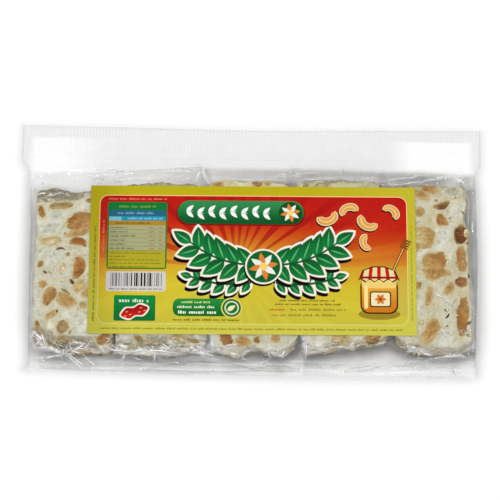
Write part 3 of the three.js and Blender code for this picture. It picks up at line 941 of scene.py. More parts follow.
def draw_panel(ink, rng):
    """A table of figures with its headings, as plain bands and dashes."""
    u0, u1 = -71.4, -42.1
    ink.add(rounded_box(u0, -5.1, u1, 29.5, 1.2), GREEN)
    foot = fade(-4.4, (172, 162, 36), 4.4, (166, 156, 44))
    for low, right, high, colour in (
            (4.4, u1 - 0.7, 17.4, plain(160, 160, 118)), (-4.4, u1 - 0.7, 4.4, foot),
            (22.1, u1 - 0.7, 25.3, plain(42, 98, 120)), (19.8, u1 - 0.7, 22.1, plain(38, 139, 169)),
            (17.4, u1 - 0.7, 19.8, plain(168, 128, 40)), (19.8, u0 + 6.8, 21.8, plain(118, 178, 196))):
        ink.add(box(u0 + 0.7, low, right, high), colour)
    for left, v, right, height, colour in (
            (5.5, 27.2, 5.5, 1.2, (112, 152, 60)), (5.0, 23.8, 5.0, 1.2, (120, 150, 196)),
            (10.0, 21.0, 2.0, 0.9, (140, 190, 206)), (4.0, 18.6, 8.0, 0.8, (92, 70, 34))):
        ink.crumbs((u0 + left, v), u1 - right, height, plain(*colour), rng)
    for row in range(6):
        v = 16.2 - 2.15 * row
        ink.add(box(u0 + 0.7, v - 1.15, u1 - 0.7, v - 0.98), plain(120, 118, 84))
        ink.crumbs((u0 + 1.6, v), u0 + rng.uniform(8, 15), 0.8, plain(92, 94, 76), rng)
        ink.crumbs((u1 - 8.6, v), u1 - 5.8, 0.8, plain(150, 104, 64), rng)
        ink.crumbs((u1 - 3.9, v), u1 - 1.8, 0.8, plain(150, 118, 64), rng)
    for row, right in enumerate((27.0, 9.0, 26.0, 27.0, 20.0)):
        ink.crumbs((u0 + 1.4, 3.1 - 1.75 * row), u0 + right, 0.62, plain(104, 98, 34), rng)


def draw_stripes(ink, rng):
    """A white box of upright stripes with a row of ticks below them."""
    ink.add(rounded_box(-71.5, -16.5, -42.3, -6.3, 1.1), plain(198, 194, 190))
    u = -69.2
    while u < -44.4:
        wide = rng.choice([0.28, 0.28, 0.55, 0.85])
        dark = plain(34, 32, 34) if rng.uniform() < 0.6 else plain(104, 102, 106)
        ink.add(box(u, -13.9, u + wide, -7.1), dark)
        u += wide + rng.choice([0.3, 0.45, 0.7, 1.0])
    ink.crumbs((-69.8, -15.3), -44.0, 0.75, plain(96, 94, 98), rng)


def peanut(u, v, long, wide, turn, grow=0.0, count=18):
    """A nut in its shell: two lobes and a waist."""
    upper, lower = [], []
    for k in range(count + 1):
        x = -math.cos(math.pi * k / count)
        half = (wide / 2) * (1 - x * x) ** 0.42 * (0.80 - 0.20 * math.cos(2 * math.pi * x))
        half += grow * (1 - abs(x) ** 9)
        upper.append((x * (long / 2 + grow), half))
        lower.append((x * (long / 2 + grow), -half))
    return placed(lower + upper[-2:0:-1], u, v, turn)


def draw_seal_plate(ink, rng):
    """A green plate with a line of specks and a red peanut edged in white."""
    ink.add(rounded_box(-67.3, -31.5, -47.1, -18.5, 0.8), fade(-31, (13, 108, 50), -19, (23, 130, 60)))
    ink.crumbs((-64.8, -21.2), -49.6, 1.7, plain(204, 222, 198), rng, (4, 6))
    centre = (-57.2, -26.8)
    ink.add(peanut(*centre, 13.6, 6.2, 17, 0.75), plain(230, 218, 204))
    ink.add(peanut(*centre, 13.6, 6.2, 17), fade(-30, (196, 36, 28), -23, (142, 16, 16)))
    for side in (-1, 1):
        for k in (-1, 0, 1):
            spot = placed([(side * 3.6 + 1.3 * k, 0.9 * (-1) ** k)], *centre, 17)[0]
            ink.add(leaf(spot[0] - 0.7, spot[1] - 0.2, 1.5, 0.55, 17), plain(226, 150, 120))


def flower(ink, u, v, radius, ground):
    """Eight petals, by turns pale and orange, on a disc."""
    ink.add(disc(u, v, 1.14 * radius), ground)
    for k in range(8):
        petal = plain(220, 226, 216) if k % 2 else plain(212, 124, 52)
        ink.add(leaf(u, v, radius, 0.44 * radius, 45 * k + 12), petal)
    ink.add(disc(u, v, 0.28 * radius), plain(232, 200, 110))


def draw_ribbon(ink):
    """A green plate across the head of the field, with a flower and a garland of pale leaves."""
    left, right = -37.0, 25.2
    ink.add(rounded_box(left - 0.7, 17.6, right + 0.5, 30.1, 6.1, 9), plain(120, 20, 10))
    ink.add(rounded_box(left, 18.4, right, 30.5, 6.0, 9), fade(18.4, (14, 84, 42), 30.5, (52, 134, 76)))
    flower(ink, right - 6.7, 24.4, 5.0, plain(12, 78, 38))
    for k in range(8):
        u = left + 4.4 + 5.4 * k
        v = 24.4 + 0.5 * (-1) ** k
        for side in (-1, 1):
            ink.add(leaf(u, v, 4.7, 2.1, side * 43), plain(228, 234, 226))
        ink.add(leaf(u - 0.4, v, 3.6, 0.7, 0), plain(196, 214, 196))


def draw_branch(ink, course, pairs, long, wide, spread_turn):
    """Pairs of leaves along a curved stem: a black shadow, a pale edge, and green in two tones."""
    start, bend, end = course

    def stem(t):
        a, b = (1 - t) ** 2, 2 * t * (1 - t)
        return tuple(a * start[k] + b * bend[k] + t * t * end[k] for k in range(2))

    leaves = []
    for k in range(pairs):
        t = (k + 0.15) / pairs
        here, ahead = stem(t), stem(min(t + 0.02, 1.0))
        heading = math.degrees(math.atan2(ahead[1] - here[1], ahead[0] - here[0]))
        size = 1.0 - 0.16 * abs(2 * t - 0.9)
        for side in (1, -1):
            leaves.append((*here, long * size, wide * size, heading + side * spread_turn))
    leaves.append((*stem(0.97), long * 0.8, wide * 0.8, heading))
    for drop_u, drop_v, colour in ((0.6, 1.7, SHADOW), (0.0, 0.0, WHITE)):
        for u, v, *form in leaves:
            ink.add(leaf(u - drop_u, v - drop_v, *form, 0.9), colour)
    for u, v, long, wide, turn in leaves:
        heading = math.radians(turn)
        tip = v + long * math.sin(heading)
        green = fade(min(v, tip) - 2, (28, 128, 64), max(v, tip) + 2, (10, 84, 42))
        ink.add(leaf(u, v, long, wide, turn), green)
        rib = (u + 1.2 * math.cos(heading), v + 1.2 * math.sin(heading))
        ink.add(leaf(*rib, long * 0.74, wide * 0.13, turn), plain(84, 168, 100))
    line = [stem(k / 24) for k in range(25)]
    ink.add([(u, v - 0.55) for u, v in line] + [(u, v + 0.55) for u, v in line[::-1]], DEEP_GREEN)


def draw_nuts(ink):
    """A few flat cashews, with an outline, a body and a light edge."""
    for u, v, long, wide, turn in (
            (36.5, 23.0, 9.0, 4.4, 200), (47.5, 25.0, 8.0, 4.0, 20), (57.0, 20.5, 9.0, 4.4, 150),
            (67.5, 24.5, 7.6, 3.8, 320), (56.5, 9.5, 7.0, 3.6, 105)):
        ink.add(curl(u - 0.3, v - 0.7, long, wide, turn, 0.5), SHADOW)
        ink.add(curl(u, v, long, wide, turn, 0.45), plain(232, 216, 176))
        ink.add(curl(u, v, long, wide, turn), plain(206, 150, 74))
        ink.add(curl(u, v, long * 1.02, wide * 0.3, turn), plain(228, 186, 112))


def draw_jar(ink):
    """A jar of honey under a cloth, with a dipper."""
    u, v = 61.8, -17.5
    dark = plain(58, 32, 16)
    honey = fade(v - 8, (196, 116, 30), v + 8, (222, 168, 58))
    ink.add(disc(u, v - 9.8, 10.2, 0.28), plain(150, 128, 40))
    for left, low, right, high, radius, colour in (
            (9.2, 9.6, 9.2, 8.4, 4.2, dark), (8.5, 8.9, 8.5, 7.7, 3.8, honey),
            (8.5, -3.4, 8.5, 7.7, 1.8, plain(226, 196, 112)),
            (7.3, 7.0, -5.5, 5.0, 0.8, plain(240, 214, 140)),
            (4.6, 6.2, 5.8, 1.8, 1.2, dark), (4.0, 5.6, 5.2, 1.2, 0.9, plain(226, 216, 170))):
        ink.add(rounded_box(u - left, v - low, u + right, v + high, radius), colour)
    for k in range(6):
        ink.add(placed(leaf(0, 0, 2.9, 1.7, 0), u + 0.6, v - 2.2, 60 * k), plain(198, 120, 40))
    ink.add(disc(u + 0.6, v - 2.2, 0.8), RED)
    rim = [(u - 10.2, v + 7.2)]
    for k in range(9):
        rim.append((u - 10.2 + 20.4 * (k + 0.5) / 9, v + (6.3 if k % 2 else 8.0)))
    rim += [(u + 10.2, v + 7.2), (u + 8.0, v + 12.6), (u + 3.0, v + 14.6), (u - 3.0, v + 14.6),
            (u - 8.0, v + 12.6)]
    ink.add(rim, dark)
    inner = [(u + (a - u) * 0.93, v + 10.6 + (b - v - 10.6) * 0.86) for a, b in rim]
    cloth = ink.add(inner, plain(222, 206, 150))
    for k in range(5):
        a = u - 8.4 + 4.2 * k
        ink.add(slanted(a, v + 10.4, 1.7, 9.0, 2.2 * (k - 2) * -0.5), RED, within=cloth)
    ink.add(box(u - 9.0, v + 8.3, u + 9.0, v + 9.4), plain(150, 24, 20))
    ink.add(placed(box(-0.7, 0.0, 0.7, 13.5), u + 7.0, v + 12.4, -24), dark)
    ink.add(placed(box(-0.35, 0.0, 0.35, 13.2), u + 7.0, v + 12.4, -24), plain(206, 160, 90))
    for k in range(4):
        a = u + 7.0 + (13.0 + 1.3 * k) * math.sin(math.radians(24))
        b = v + 12.4 + (13.0 + 1.3 * k) * math.cos(math.radians(24))
        ink.add(placed(rounded_box(-2.2, -0.45, 2.2, 0.45, 0.4, 3), a, b, -24), plain(120, 70, 26))


def draw_notes(ink, rng):
    """The lines of small print in the lower half, and a green pill with a ring."""
    ink.crumbs((13.3, -20.6), 40.7, 0.95, plain(108, 88, 34), rng)
    ink.crumbs((11.0, -22.5), 43.1, 0.95, plain(108, 88, 34), rng)
    ink.crumbs((8.4, -25.2), 17.5, 1.3, plain(196, 84, 32), rng, (5, 9))
    ink.crumbs((18.6, -25.2), 45.7, 1.2, plain(138, 128, 44), rng)
    ink.crumbs((9.8, -28.0), 42.3, 1.2, plain(138, 128, 44), rng)
    ink.add(rounded_box(-38.6, -28.9, -6.3, -20.0, 3.2, 7), fade(-29, (16, 100, 38), -20, (42, 136, 60)))
    rings = ((5.2, (208, 196, 96)), (4.5, (20, 96, 42)), (3.6, (196, 206, 170)), (2.8, (26, 112, 52)))
    for radius, colour in rings:
        ink.add(disc(-10.0, -24.6, radius), plain(*colour))
    ink.add(leaf(-12.0, -26.0, 4.6, 2.4, 35), plain(222, 222, 168))
    for u, v, end, height, colour, upright in (
            (-34.5, -21.8, -20.0, 1.0, (196, 214, 130), 0), (-36.5, -24.2, -17.0, 1.3, (214, 224, 196), 0),
            (-36.0, -26.9, -17.5, 1.6, (222, 232, 206), 0), (-38.6, -30.7, -6.0, 1.0, (98, 92, 34), 0),
            (-73.7, -35.2, 73.1, 1.0, (132, 124, 36), 0), (-77.4, -31.7, 17.4, 1.0, (124, 116, 32), 1),
            (77.7, -30.6, 18.0, 0.9, (150, 142, 40), 1), (-71.2, 31.2, -42.4, 1.0, (218, 116, 92), 0),
            (-73.3, 3.4, 20.0, 1.0, (214, 112, 84), 1)):
        ink.crumbs((u, v), end, height, plain(*colour), rng, upright=upright)


# Each branch: its root, bend and tip from the flower, its pairs of leaves, their length, width and
# how far they turn from it.
BRANCHES = [
    ((6, -11.6), (22, -14.4), (36, -8.6), 5, 7.2, 4.4, 46),
    ((5, -2.4), (22, -2.9), (36.5, 9.4), 5, 13.0, 7.4, 52),
]


def draw_label():
    """Every shape of the print."""
    ink = Print()
    rng = np.random.RandomState(77)
    draw_field(ink)
    draw_panel(ink, rng)
    draw_stripes(ink, rng)
    draw_seal_plate(ink, rng)
    draw_ribbon(ink)
    u, v = 5.4, -3.4
    for side in (-1, 1):
        for *course, pairs, long, wide, turn in BRANCHES:
            draw_branch(ink, [(u + a * side, b) for a, b in course], pairs, long, wide, turn)
    ink.add(disc(5.0, -4.3, 9.3), SHADOW)
    ink.add(disc(u, v, 9.1), WHITE)
    flower(ink, u, v, 7.2, plain(14, 96, 46))
    draw_nuts(ink)
    draw_jar(ink)
    draw_notes(ink, rng)
    return ink.shapes


def inside(outline, u, v):
    """Which points are inside a polygon."""
    hit = np.zeros(len(u), bool)
    for (u0, v0), (u1, v1) in zip(outline, np.roll(outline, -1, 0)):
        if v0 == v1:
            continue
        crosses = (v0 > v) != (v1 > v)
        hit ^= crosses & (u < (u1 - u0) * (v - v0) / (v1 - v0) + u0)
    return hit


def label_height(u, v):
    """The card's own slight waves, with a soft upright crease left of the middle."""
    waves = 0.035 * noise(u + 40, v + 40, 16.0, 61) + 0.02 * noise(u + 90, v + 20, 7.0, 62)
    crease = 0.05 * np.exp(-abs(u + 3.5 + 0.05 * v) / 1.2)
    return LABEL["z"] + waves + crease


def label_to_pack(u, v):
    """A place on the label in the frame of the pack."""
    c, s = math.cos(math.radians(LABEL["turn"])), math.sin(math.radians(LABEL["turn"]))
    return LABEL["x"] + c * u - s * v, LABEL["y"] + s * u + c * v


LABEL_CARD = 0.16                              # how thick the card is
INK_GAIN = 1.07                                # the colours above are as seen under the film and lights
CARD_STEP = 1.6                                # points this far apart let the card's faces bend
CARD_EDGE = (206, 202, 192)                    # its back and its edge


def divided_card(shapes):
    """The card's upper face, divided along the outlines of the shapes: its points and triangles."""
    points, edges = [], []
    for outline, _, _ in shapes:
        first = len(points)
        points.extend(map(tuple, outline))
        edges.extend((first + k, first + (k + 1) % len(outline)) for k in range(len(outline)))
    half_w, half_h = LABEL["half_width"], LABEL["half_height"]
    for u in np.arange(-half_w + CARD_STEP, half_w, CARD_STEP):
        for v in np.arange(-half_h + CARD_STEP, half_h, CARD_STEP):
            points.append((float(u), float(v)))
    vectors = [Vector(p) for p in points]
    flat, _, faces, _, _, _ = delaunay_2d_cdt(vectors, edges, [], 0, 1e-4, False)
    flat = np.array([tuple(p) for p in flat])
    faces = np.array([f for f in faces if len(f) == 3])
    centre = flat[faces].mean(1)
    kept = (abs(centre[:, 0]) < half_w) & (abs(centre[:, 1]) < half_h)
    faces = faces[kept]
    used = np.unique(faces)
    renumber = np.full(len(flat), -1)
    renumber[used] = np.arange(len(used))
    flat, faces = flat[used], renumber[faces]
    a, b, c = (flat[faces[:, k]] for k in range(3))
    turned = (b[:, 0] - a[:, 0]) * (c[:, 1] - a[:, 1]) - (b[:, 1] - a[:, 1]) * (c[:, 0] - a[:, 0]) < 0
    faces[turned] = faces[turned][:, ::-1]
    return flat, faces


def print_colours(shapes, flat, faces):
    """The colour at each corner of each triangle, from the uppermost shape that covers it."""
    centre = flat[faces].mean(1)
    covers, owner = [], np.zeros(len(faces), int)
    for number, (outline, _, within) in enumerate(shapes):
        low, high = outline.min(0), outline.max(0)
        near = np.nonzero(((centre >= low) & (centre <= high)).all(1))[0]
        hit = near[inside(outline, centre[near, 0], centre[near, 1])]
        mask = np.zeros(len(faces), bool)
        mask[hit] = True
        if within is not None:
            mask &= covers[within]
        covers.append(mask)
        owner[mask] = number
    corners = flat[faces].reshape(-1, 2)
    shade = np.zeros((len(corners), 3))
    corner_owner = np.repeat(owner, 3)
    for number in np.unique(owner):
        chosen = corner_owner == number
        shade[chosen] = shapes[number][1](corners[chosen, 0], corners[chosen, 1])
    # Painted shade: the print darkens towards the label's left-hand end.
    left_shade = lerp(0.76, 1.0, smoothstep(corners[:, :1], -LABEL["half_width"], -58.0))
    return np.clip((linear(np.clip(shade, 0, 255)) - VEIL) * INK_GAIN * left_shade, 0.001, 0.92)


def make_label():
    """One closed card. Returns the piece and a tree of its upper face."""
    shapes = draw_label()
    flat, faces = divided_card(shapes)
    shade = print_colours(shapes, flat, faces)
    x, y = label_to_pack(flat[:, 0], flat[:, 1])
    top = np.stack([x, y, label_height(flat[:, 0], flat[:, 1])], 1)
    count = len(top)
    under = top - np.array([0, 0, LABEL_CARD])
    rim = {}
    for f in faces:
        for k in range(3):
            e = (int(f[k]), int(f[(k + 1) % 3]))
            if (e[1], e[0]) in rim:
                del rim[(e[1], e[0])]
            else:
                rim[e] = True
    walls = [(b, a, a + count, b + count) for a, b in rim]
    every = [tuple(f) for f in faces] + [tuple(f[::-1] + count) for f in faces] + walls
    piece = new_object("label_card", np.concatenate([top, under]), every, smooth=False)
    colours = np.tile(linear(CARD_EDGE), (len(piece.data.loops), 1))
    colours[:len(shade)] = shade
    paint(piece, "print", colours, "CORNER")
    return piece, tree_of(top, faces)


# ------------------------------------------------------------------ the film

LEFT_SIDE = dict(head=-110.6, middle=-108.8, foot=-107.4)
RIGHT_SIDE = dict(head=111.8, middle=112.6, foot=110.4)


def pouch_side(side, y):
    """The X of one side of the pouch."""
    upper = lerp(side["middle"], side["head"], smoothstep(y, 0.0, CREASE_Y))
    lower = lerp(side["foot"], side["middle"], smoothstep(y, FOOT_Y, 0.0))
    return np.where(y > 0, upper, lower)


def bag_side(side, y):
    """The X of one side of the whole bag, which is wider at the flap."""
    widening = smoothstep(y, CREASE_Y - 3, FLAP_Y)
    return lerp(pouch_side(side, y), np.sign(side["middle"]) * HEADER_HALF, widening)


def from_sides(x, y):
    """How far a point is from the nearer side of the bag."""
    return np.minimum(x - bag_side(LEFT_SIDE, y), bag_side(RIGHT_SIDE, y) - x)


def bag_foot(x):
    return lerp(FOOT_Y + 2.8, FOOT_Y, np.clip(1 - ((x - 30) / 150) ** 2, 0, 1))


def bag_head(x):
    return HEAD_Y - 1.2 * np.cos(x / (2 * HEADER_HALF) * math.pi) ** 2


def bag_grid(columns, rows):
    """Points of the bag's plan: columns across it, and rows by their Y at its lowest point."""
    share, y = np.meshgrid(columns, rows)
    x = lerp(bag_side(LEFT_SIDE, y), bag_side(RIGHT_SIDE, y), share)
    y = y + (bag_foot(x) - FOOT_Y) * (1 - smoothstep(y, FOOT_Y, FOOT_Y + 9))
    y = y + (bag_head(x) - HEAD_Y) * smoothstep(y, HEAD_Y - 4, HEAD_Y)
    return x, y


def blurred(field, radius):
    """A Gaussian blur over a grid, in grid steps."""
    reach = int(math.ceil(radius * 3))
    weights = np.exp(-0.5 * (np.arange(-reach, reach + 1) / radius) ** 2)
    weights /= weights.sum()
    padded = np.pad(field, reach, mode="edge")
    rows = sum(w * padded[k:k + field.shape[0], :] for k, w in enumerate(weights))
    return sum(w * rows[:, k:k + field.shape[1]] for k, w in enumerate(weights))


def spread(field):
    """The largest value within one grid step."""
    rows, columns = field.shape
    padded = np.pad(field, 1, mode="edge")
    return np.max([padded[i:i + rows, j:j + columns] for i in range(3) for j in range(3)], 0)


def drop_onto(tree, x, y):
    """The height of what lies under each point, or 0."""
    heights = np.zeros(x.size)
    for k, (a, b) in enumerate(zip(x.ravel(), y.ravel())):
        hit = look_down(tree, a, b)
        if hit is not None:
            heights[k] = hit.z
    return heights.reshape(x.shape)


# Pinched folds that catch the light, partly through painted highlight: from and to in millimetres, height
# and half-width.
NAMED_FOLDS = [
    (-104.6, -45.6, -99.6, -50.0, 0.9, 0.5), (-86.5, -51.3, -79.0, -51.7, 0.7, 0.4),
    (-86.2, -55.1, -79.0, -51.5, 0.8, 0.4), (-72.0, -52.6, -70.4, -54.0, 0.6, 0.5),
    (-69.3, -52.8, -59.6, -54.9, 0.9, 0.45), (-59.7, -54.8, -32.3, -55.3, 1.0, 0.45),
    (-24.4, -53.6, -18.0, -55.2, 1.0, 0.7), (-22.6, -53.4, -21.1, -57.9, 0.8, 0.4),
    (-11.9, -52.1, -4.2, -51.4, 0.7, 0.4), (-3.2, -55.9, -0.2, -57.3, 0.6, 0.4),
    (-89.3, -55.5, -106.0, -57.7, 0.8, 0.45), (-89.2, -55.6, -104.9, -52.3, 0.8, 0.45),
    (-89.2, -55.6, -81.3, -59.5, 0.8, 0.4), (-89.3, -55.4, -78.3, -63.6, 0.9, 0.4),
    (-89.2, -55.7, -101.0, -50.9, 0.7, 0.4), (-80.3, -55.8, -73.5, -61.3, 0.7, 0.4),
    (-62.4, -59.1, -59.7, -55.0, 0.6, 0.4), (-51.6, -62.4, 5.7, -61.8, 0.15, 1.0),
    (45.5, -62.0, 64.7, -59.0, 0.8, 0.8), (64.7, -59.1, 86.3, -55.7, 1.1, 0.7),
    (86.3, -55.7, 107.3, -53.9, 1.0, 0.6), (0.8, -61.6, 25.1, -61.0, 0.15, 0.9),
    (81.9, -51.4, 89.2, -54.1, 0.8, 0.45), (77.6, -51.1, 81.2, -51.4, 0.7, 0.6),
    (25.1, -46.4, 26.8, -48.9, 0.9, 0.5), (27.1, -48.7, 27.8, -56.2, 1.0, 0.4),
    (49.0, -50.8, 51.2, -49.4, 0.7, 0.5), (15.8, -56.0, 17.7, -53.6, 0.7, 0.5),
    (94.1, -43.3, 95.5, -46.3, 1.0, 0.45), (93.1, -41.5, 95.0, -44.2, 0.9, 0.45),
    (-25.0, -54.6, -19.0, -54.2, 1.0, 0.5), (-23.6, -55.6, -18.6, -53.2, 1.0, 0.45),
    (-21.6, -52.9, -21.0, -56.8, 1.0, 0.45), (-100.5, -46.9, -98.6, -50.8, 1.0, 0.5),
    (99.9, -59.0, 100.4, -62.4, 0.6, 0.5), (7.5, -58.2, 10.9, -55.4, 0.6, 0.4),
    (89.9, -24.3, 94.4, -26.2, 1.0, 0.45), (94.2, -26.0, 98.6, -29.3, 1.0, 0.45),
    (-111.0, 38.5, -77.2, 40.2, 0.4, 0.6), (-77.1, 40.1, -39.0, 41.4, 0.4, 0.6),
    (-39.0, 41.4, -24.8, 43.0, 0.5, 0.6), (-87.6, 34.1, -85.1, 34.7, 0.6, 0.4),
    (-76.2, 32.6, -75.0, 34.7, 0.8, 0.45), (-73.5, 32.7, -70.5, 35.2, 0.9, 0.5),
    (-67.9, 34.9, -65.5, 35.8, 0.7, 0.4), (-61.4, 37.4, -58.2, 38.2, 0.7, 0.5),
    (-52.7, 35.9, -46.2, 36.2, 0.7, 0.4), (-32.5, 34.5, -29.6, 35.2, 0.6, 0.4),
    (-24.9, 42.4, -20.8, 32.6, 0.8, 0.5), (-24.9, 42.2, -27.6, 34.2, 0.7, 0.4),
    (64.3, 35.7, 83.8, 38.6, 0.7, 0.6), (64.2, 33.6, 85.1, 35.2, 0.6, 0.5),
    (85.2, 35.3, 99.2, 39.2, 0.7, 0.5), (101.6, 38.4, 106.8, 34.7, 0.9, 0.5),
    (110.2, 33.7, 110.2, 9.5, 0.5, 0.6), (107.6, 33.2, 107.8, 12.0, 0.3, 0.5),
]

# Where the film is gathered: a place, how many folds run out from it, and how far.
GATHERS = [
    (-89.2, -55.4, 20, 9.0), (-64.5, -52.2, 18, 6.0), (-22.5, -53.2, 34, 6.0), (27.0, -50.5, 14, 6.5),
    (-100.0, -50.6, 14, 5.0), (-78.0, -52.5, 14, 5.0), (-38.0, -53.2, 14, 6.0), (-54.0, -53.4, 10, 5.0),
    (92.0, 37.6, 14, 6.0), (58.0, 38.2, 10, 6.0), (39.5, -50.6, 9, 4.5), (-3.0, -55.4, 10, 5.0),
    (8.0, -55.6, 9, 5.0), (80.3, -52.4, 14, 6.5), (107.6, -50.6, 12, 5.5), (105.6, -44.2, 12, 3.6),
    (96.0, -43.6, 8, 3.0), (50.0, -50.2, 9, 4.0), (-75.0, 34.6, 22, 5.5), (-67.0, 35.6, 10, 4.5),
    (-103.5, 32.2, 10, 4.5), (-24.5, 41.6, 16, 5.5), (19.9, 41.8, 9, 4.5), (44.3, 40.6, 9, 4.5),
    (105.4, 35.2, 20, 6.0), (66.0, 34.8, 10, 5.5), (-106.6, -46.5, 9, 5.5), (-45.0, -56.0, 9, 5.0),
]

# Folds that run along the bag near its foot and its head: how many, and the ranges of their X, Y,
# length, lean, height and half-width. The small ones are sharp and the soft ones broad.
SMALL_RUNS = [
    (26, (-106, 100), (-61.5, -56), (3, 14), (-0.25, 0.25), (0.10, 0.25), (0.14, 0.26)),
    (34, (-108, 100), (33.5, 39), (2, 9), (-0.3, 0.4), (0.10, 0.30), (0.14, 0.26)),
]
SOFT_RUNS = [
    (34, (-108, 80), (-63, -56.5), (12, 46), (-0.05, 0.05), (0.10, 0.26), (0.7, 1.5)),
    (26, (-108, 80), (34.5, 40), (8, 36), (-0.03, 0.09), (0.12, 0.30), (0.6, 1.3)),
]


def running_folds(runs, rng):
    """Folds at random within the ranges of each run."""
    folds = []
    for number, *ranges in runs:
        for _ in range(number):
            a, b, long, lean, height, half = (rng.uniform(*bounds) for bounds in ranges)
            folds.append((a, b, a + long, b + long * lean, height, half))
    return folds


def small_folds():
    """Short pinched folds: fans from the gathers, and some along the foot, the head and the sides."""
    rng = np.random.RandomState(909)
    folds = []
    for x, y, number, reach in GATHERS:
        for _ in range(number):
            turn = rng.uniform(0, 2 * math.pi)
            long = reach * rng.uniform(0.25, 1.0)
            a, b = x + rng.normal(0, 1.4), y + rng.normal(0, 0.9)
            folds.append((a, b, a + long * math.cos(turn), b + 0.65 * long * math.sin(turn),
                          rng.uniform(0.12, 0.42), rng.uniform(0.16, 0.30)))
    folds += running_folds(SMALL_RUNS, rng)
    for x in (-107.4, 110.2):
        for _ in range(9):
            b = rng.uniform(-50, 32)
            folds.append((x + rng.uniform(-0.6, 0.6), b, x + rng.uniform(-0.6, 0.6), b + rng.uniform(3, 12),
                          rng.uniform(0.12, 0.35), rng.uniform(0.16, 0.28)))
    for _ in range(20):
        bar = BARS[rng.randint(0, len(BARS))]
        a, b = rng.uniform(*bar["foot_x"]), rng.uniform(-53, -45)
        turn, long = math.radians(rng.uniform(-60, 60)), rng.uniform(1.5, 5)
        folds.append((a, b, a + long * math.cos(turn), b + long * math.sin(turn),
                      rng.uniform(0.08, 0.22), rng.uniform(0.14, 0.24)))
    return folds


def soft_folds():
    """Broad low folds along the foot and head of the pouch."""
    rng = np.random.RandomState(515)
    folds = [(*fold[:4], 0.35 * fold[4], 2.6 * fold[5]) for fold in NAMED_FOLDS]
    return folds + running_folds(SOFT_RUNS, rng)


def fold_relief(x, y, folds):
    """The height that folds add, and how strongly each point is creased."""
    relief, crease = np.zeros(x.shape), np.zeros(x.shape)
    for ax, ay, bx, by, height, half in folds:
        reach = 4 * half
        near = ((x > min(ax, bx) - reach) & (x < max(ax, bx) + reach)
                & (y > min(ay, by) - reach) & (y < max(ay, by) + reach))
        if not near.any():
            continue
        px, py = x[near], y[near]
        run = np.array([bx - ax, by - ay])
        length = np.hypot(*run)
        t = ((px - ax) * run[0] + (py - ay) * run[1]) / length ** 2
        off = abs((px - ax) * run[1] - (py - ay) * run[0]) / length
        past = np.clip(np.abs(t - 0.5) - 0.5, 0, None) * length
        taper = (0.25 + 0.75 * np.sin(np.clip(t, 0, 1) * math.pi)) * np.exp(-(past / (1.2 * half)) ** 2)
        relief[near] += height * np.exp(-(off / half) ** 1.5) * taper
        creased = taper * np.exp(-(off / (0.7 * half)) ** 2) * min(1, 3 * height)
        crease[near] = np.maximum(crease[near], creased)
    return relief, crease


def wrinkles(x, y, seed):
    """Sharp-crested crumpling of about one unit."""
    first = 1 - abs(noise(x + 0.6 * y, y - 0.3 * x, 5.5, seed)) * 2.2
    second = 1 - abs(noise(x - 0.5 * y, y + 0.4 * x, 3.1, seed + 1)) * 2.2
    return 0.65 * first + 0.35 * second


# The whitish film in the gaps between the bars' feet, crumpled film partly whitened as painted highlight:
# x, y, how wide and long, and how strong.
GAP_MISTS = [(-19.6, -50.5, 3.2, 5.0, 1.0), (26.8, -50.0, 1.8, 4.0, 0.7)]


def gap_mist(x, y):
    mist = sum(share * np.exp(-((x - at) / wide) ** 2 - ((y - row) / long) ** 2)
               for at, row, wide, long, share in GAP_MISTS)
    return mist * np.clip(0.36 + 0.44 * wrinkles(2.2 * x, 0.8 * y, 77), 0, 0.85)


def mark_film(piece, crease, pouch):
    """How whitened each point of the film is, partly as painted highlight, and how much painted shade greys
    it.
    """
    mark_points(piece, "crease", crease.ravel())
    mark_points(piece, "pouch", pouch.ravel())


FILM_ROW = 0.36                                # how far apart the front film's rows are where it is loose
FRONT_COLUMNS, FLAP_COLUMNS, BACK_COLUMNS = 446, 743, 200
BACK_ROWS = 130
CLEARANCE = (0.12, 0.10, 0.08)                 # over what it lies on: draped, smoothed and creased
RIM_FRONT, RIM = 0.45, 0.42                    # how high the film's own edges lie


